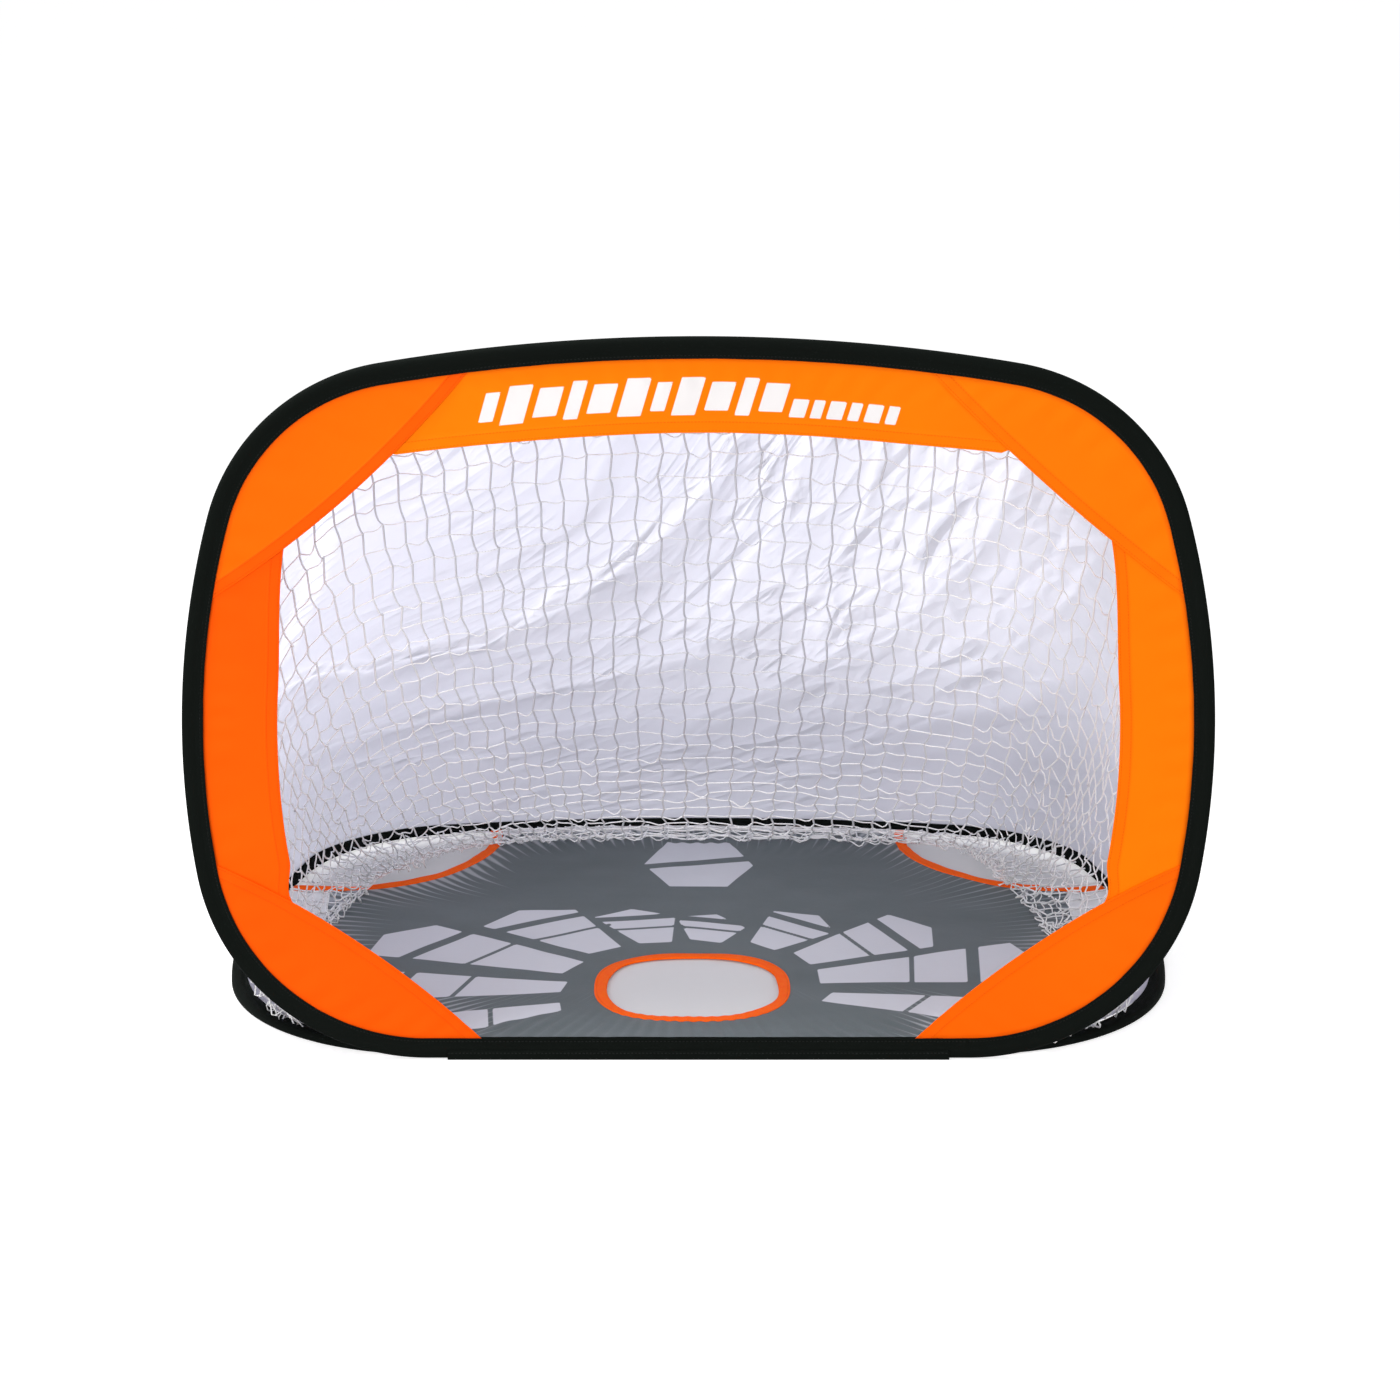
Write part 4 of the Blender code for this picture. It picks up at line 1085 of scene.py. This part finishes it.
def make_rear_sheet():
    """White cloth from the back of the front sleeve down to the floor sleeve, with slanting creases."""
    columns, rows = 620, 270
    angles = even_angles(SHEET_START, math.pi - SHEET_START, columns, SHEET_INSET)
    cos, sin = np.cos(angles), np.sin(angles)
    flat = loop_points(angles, SHEET_INSET)
    foot = loop_points(angles, SHEET_INSET - 0.012 * smoothstep(-0.1, 0.6, sin))
    low = on_floor(*foot.T, SLEEVE_HALF + 0.0003)
    high = in_front(*flat.T, -(FRONT_SLOT / 2 + 0.0018))
    share = np.linspace(0, 1, rows)[:, None]
    middle = low * (1 - share[..., None]) + high * share[..., None]
    outward = unit_rows(np.stack([cos, sin, sin], -1))
    x = middle[..., 0]
    share = share + 0 * x
    up = share * SLANT
    ends = np.clip(np.sin(math.pi * share), 0, 1) ** 0.5
    height = 0.85 * np.max(ridges(x, up, FOLDS)[1], axis=0) * ends * np.maximum(0.0, sin)
    away, heights = ridges(x, up, CREASES)
    sharp = sum(heights)
    slope = 1.2 * np.exp(4.2 * x)
    crease_u = 0.7 * (x + up)
    crease_v = (up - slope / 4.2) / np.sqrt(1 + slope**2)
    # Where the cloth has crumples, over the right and lower part and along the creases. This share also gives
    # its colour a painted highlight.
    crumpled = 0.26 + 0.74 * smoothstep(-0.14, 0.16, x + 0.35 * (0.45 - share))
    crumpled = np.maximum(crumpled, 0.9 * np.exp(-((np.min(away, axis=0) / 0.016) ** 2)))
    warp = 0.5 * soft_noise(x * 6, share * 5, 71)
    sharp = sharp + 0.0030 * soft_noise(crease_u * 3 + warp, crease_v * 11 + warp, 72)
    for run, spread, depth, seed in ((3.2, 15, 0.0030, 74), (4.5, 24, 0.0022, 75), (7, 36, 0.0013, 76)):
        level = soft_noise(crease_u * run + warp, crease_v * spread + 2 * warp, seed)
        where = smoothstep(-0.25, 0.55, soft_noise(x * 7, share * 6, seed + 10))
        sharp = sharp + depth * where * (1 - np.abs(level)) ** 5
    height = height + sharp * ends * smoothstep(-0.5, 0.3, sin)
    middle = middle + height[..., None] * outward
    values = {"along": lengths_along(flat), "across": up, "crease_u": crease_u, "crease_v": crease_v}
    values["crumpled"] = crumpled
    points, faces, both = two_sided(middle, outward, CLOTH, values)
    piece = add_piece("rear_cloth", points, faces, both, "floor_frame", "white_cloth", WHITE, turn=False)
    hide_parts("rear_sheet")
    spread = np.hypot(np.diff(flat[:, 0]), np.diff(flat[:, 1]) / math.sqrt(2))
    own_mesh(piece)


def area_light(name, place, target, size, energy, colour=(1, 1, 1)):
    data = bpy.data.lights.new(name, "AREA")
    data.shape = "RECTANGLE"
    data.size, data.size_y = size
    data.energy = energy
    data.color = colour
    lamp = add_object(name, data)
    lamp.location = place
    lamp.rotation_euler = (Vector(target) - Vector(place)).to_track_quat("-Z", "Y").to_euler()


def seen_directly(tree):
    """1 for rays from the camera, off gloss and through clear things, and 0 for light that falls on cloth."""
    camera, gloss, clear = (
        node(tree, "LightPath", output=f"Is {word} Ray") for word in ("Camera", "Glossy", "Transmission")
    )
    return camera.maths("MAXIMUM", gloss).maths("MAXIMUM", clear)


def studio_floor(tree):
    """A pale floor that looks as white as the backdrop, but for a painted shadow close to the goal, where its
    glow is turned down.
    """
    matt = node(tree, "BsdfDiffuse", {"Color": [FLOOR_SHADE] * 3})
    place = node(tree, "TexCoord", output="Object")
    away = [
        (node(tree, "SeparateXYZ", {0: place}, part) * (2 / size)).size().maths("POWER", FLOOR_SHADOW_POWER)
        for part, size in ((0, LOOP_WIDTH), (1, LOOP_HEIGHT))
    ]
    # Painted shadow: the floor's glow falls to a tenth under and round the goal.
    beside = fade(away[0] + away[1], 0.75, 1.1, 0.10)
    strength = seen_directly(tree) * beside * (1.0 - FLOOR_SHADE * WORLD_LIGHT)
    glow = node(tree, "Emission", {"Color": (1, 1, 1), "Strength": strength})
    return node(tree, "AddShader", {0: matt, 1: glow})


def make_stage():
    world = bpy.data.worlds.new("studio")
    bpy.context.scene.world = world
    world.use_nodes = True
    tree = world.node_tree
    tree.nodes.clear()
    strength = seen_directly(tree) * (1.0 - WORLD_LIGHT) + WORLD_LIGHT
    back = node(tree, "Background", {"Color": (1.0, 1.0, 1.0), "Strength": strength})
    node(tree, "OutputWorld", {"Surface": back}, None)
    mesh = bpy.data.meshes.new("floor")
    mesh.from_pydata([(-30, -20, 0), (30, -20, 0), (30, 40, 0), (-30, 40, 0)], [], [(0, 1, 2, 3)])
    floor = add_object("floor", mesh)
    mesh.materials.append(material("studio_floor", studio_floor))
    area_light("key", (-1.5, -3.5, 1.4), (0, 0, 0.2), (2.0, 2.0), 62, (1.0, 0.995, 0.985))
    area_light("fill", (1.7, -3.2, 0.9), (0, 0, 0.2), (1.5, 1.5), 27)
    area_light("above", (-0.9, -0.4, 1.9), (0, 0.0, 0.3), (0.6, 0.6), 38)


def make_camera():
    data = bpy.data.cameras.new("camera")
    data.sensor_width = 36.0
    data.lens = 86.06
    data.shift_x = 0.0011
    camera = add_object("camera", data)
    camera.location = (0.0, -3.161, 1.175)
    camera.rotation_euler = (math.radians(73.56), 0.0, 0.0)
    bpy.context.scene.camera = camera


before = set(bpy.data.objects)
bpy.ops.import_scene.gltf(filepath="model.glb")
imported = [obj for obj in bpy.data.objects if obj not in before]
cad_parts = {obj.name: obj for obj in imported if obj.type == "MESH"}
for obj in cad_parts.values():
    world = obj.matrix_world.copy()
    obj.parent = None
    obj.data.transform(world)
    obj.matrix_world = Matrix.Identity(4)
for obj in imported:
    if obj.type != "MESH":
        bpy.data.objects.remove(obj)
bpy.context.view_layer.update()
finishes = (black_tape, orange_fabric, orange_binding, printed_panel, white_net, white_cloth)
TAPE, ORANGE, BINDING, PRINT, NET, WHITE = (material(surface.__name__, surface) for surface in finishes)
STEEL = material("spring_steel", metal((0.55, 0.56, 0.58), 0.32, 40.0))
CRIMPED = material("ferrule_metal", metal((0.62, 0.60, 0.55), 0.42, 90.0))

for word, finish in (("hoop", STEEL), ("hoop_ferrule", CRIMPED)):
    for prefix in ("front_", "floor_"):
        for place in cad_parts[prefix + word].material_slots:
            place.material = finish

front_tape = make_sleeve("front_edge_tape", FRONT_SLOT, in_front, "front_frame", 81)
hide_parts("front_sleeve")
floor_tape = make_sleeve("floor_edge_tape", FLOOR_SLOT, on_floor, "floor_frame", 91)
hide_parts("floor_sleeve")
# The tone numbers are painted light and shade: the top and right bands lighter, the left band deeper.
make_band("top_band", TOP_BAND_END, math.pi - TOP_BAND_END, 0.92, 0.04, band_print)
make_band("right_band", SIDE_BAND_FOOT, SIDE_BAND_HEAD, 0.93, 0.25)
make_band("left_band", math.pi - SIDE_BAND_HEAD, math.pi - SIDE_BAND_FOOT, 0.05, 0.25)
make_gussets()
make_hinge_tape()
make_panel()
make_bindings()
make_net()
make_rear_sheet()
make_stage()
make_camera()

view = bpy.context.scene.view_settings
view.view_transform = "Standard"
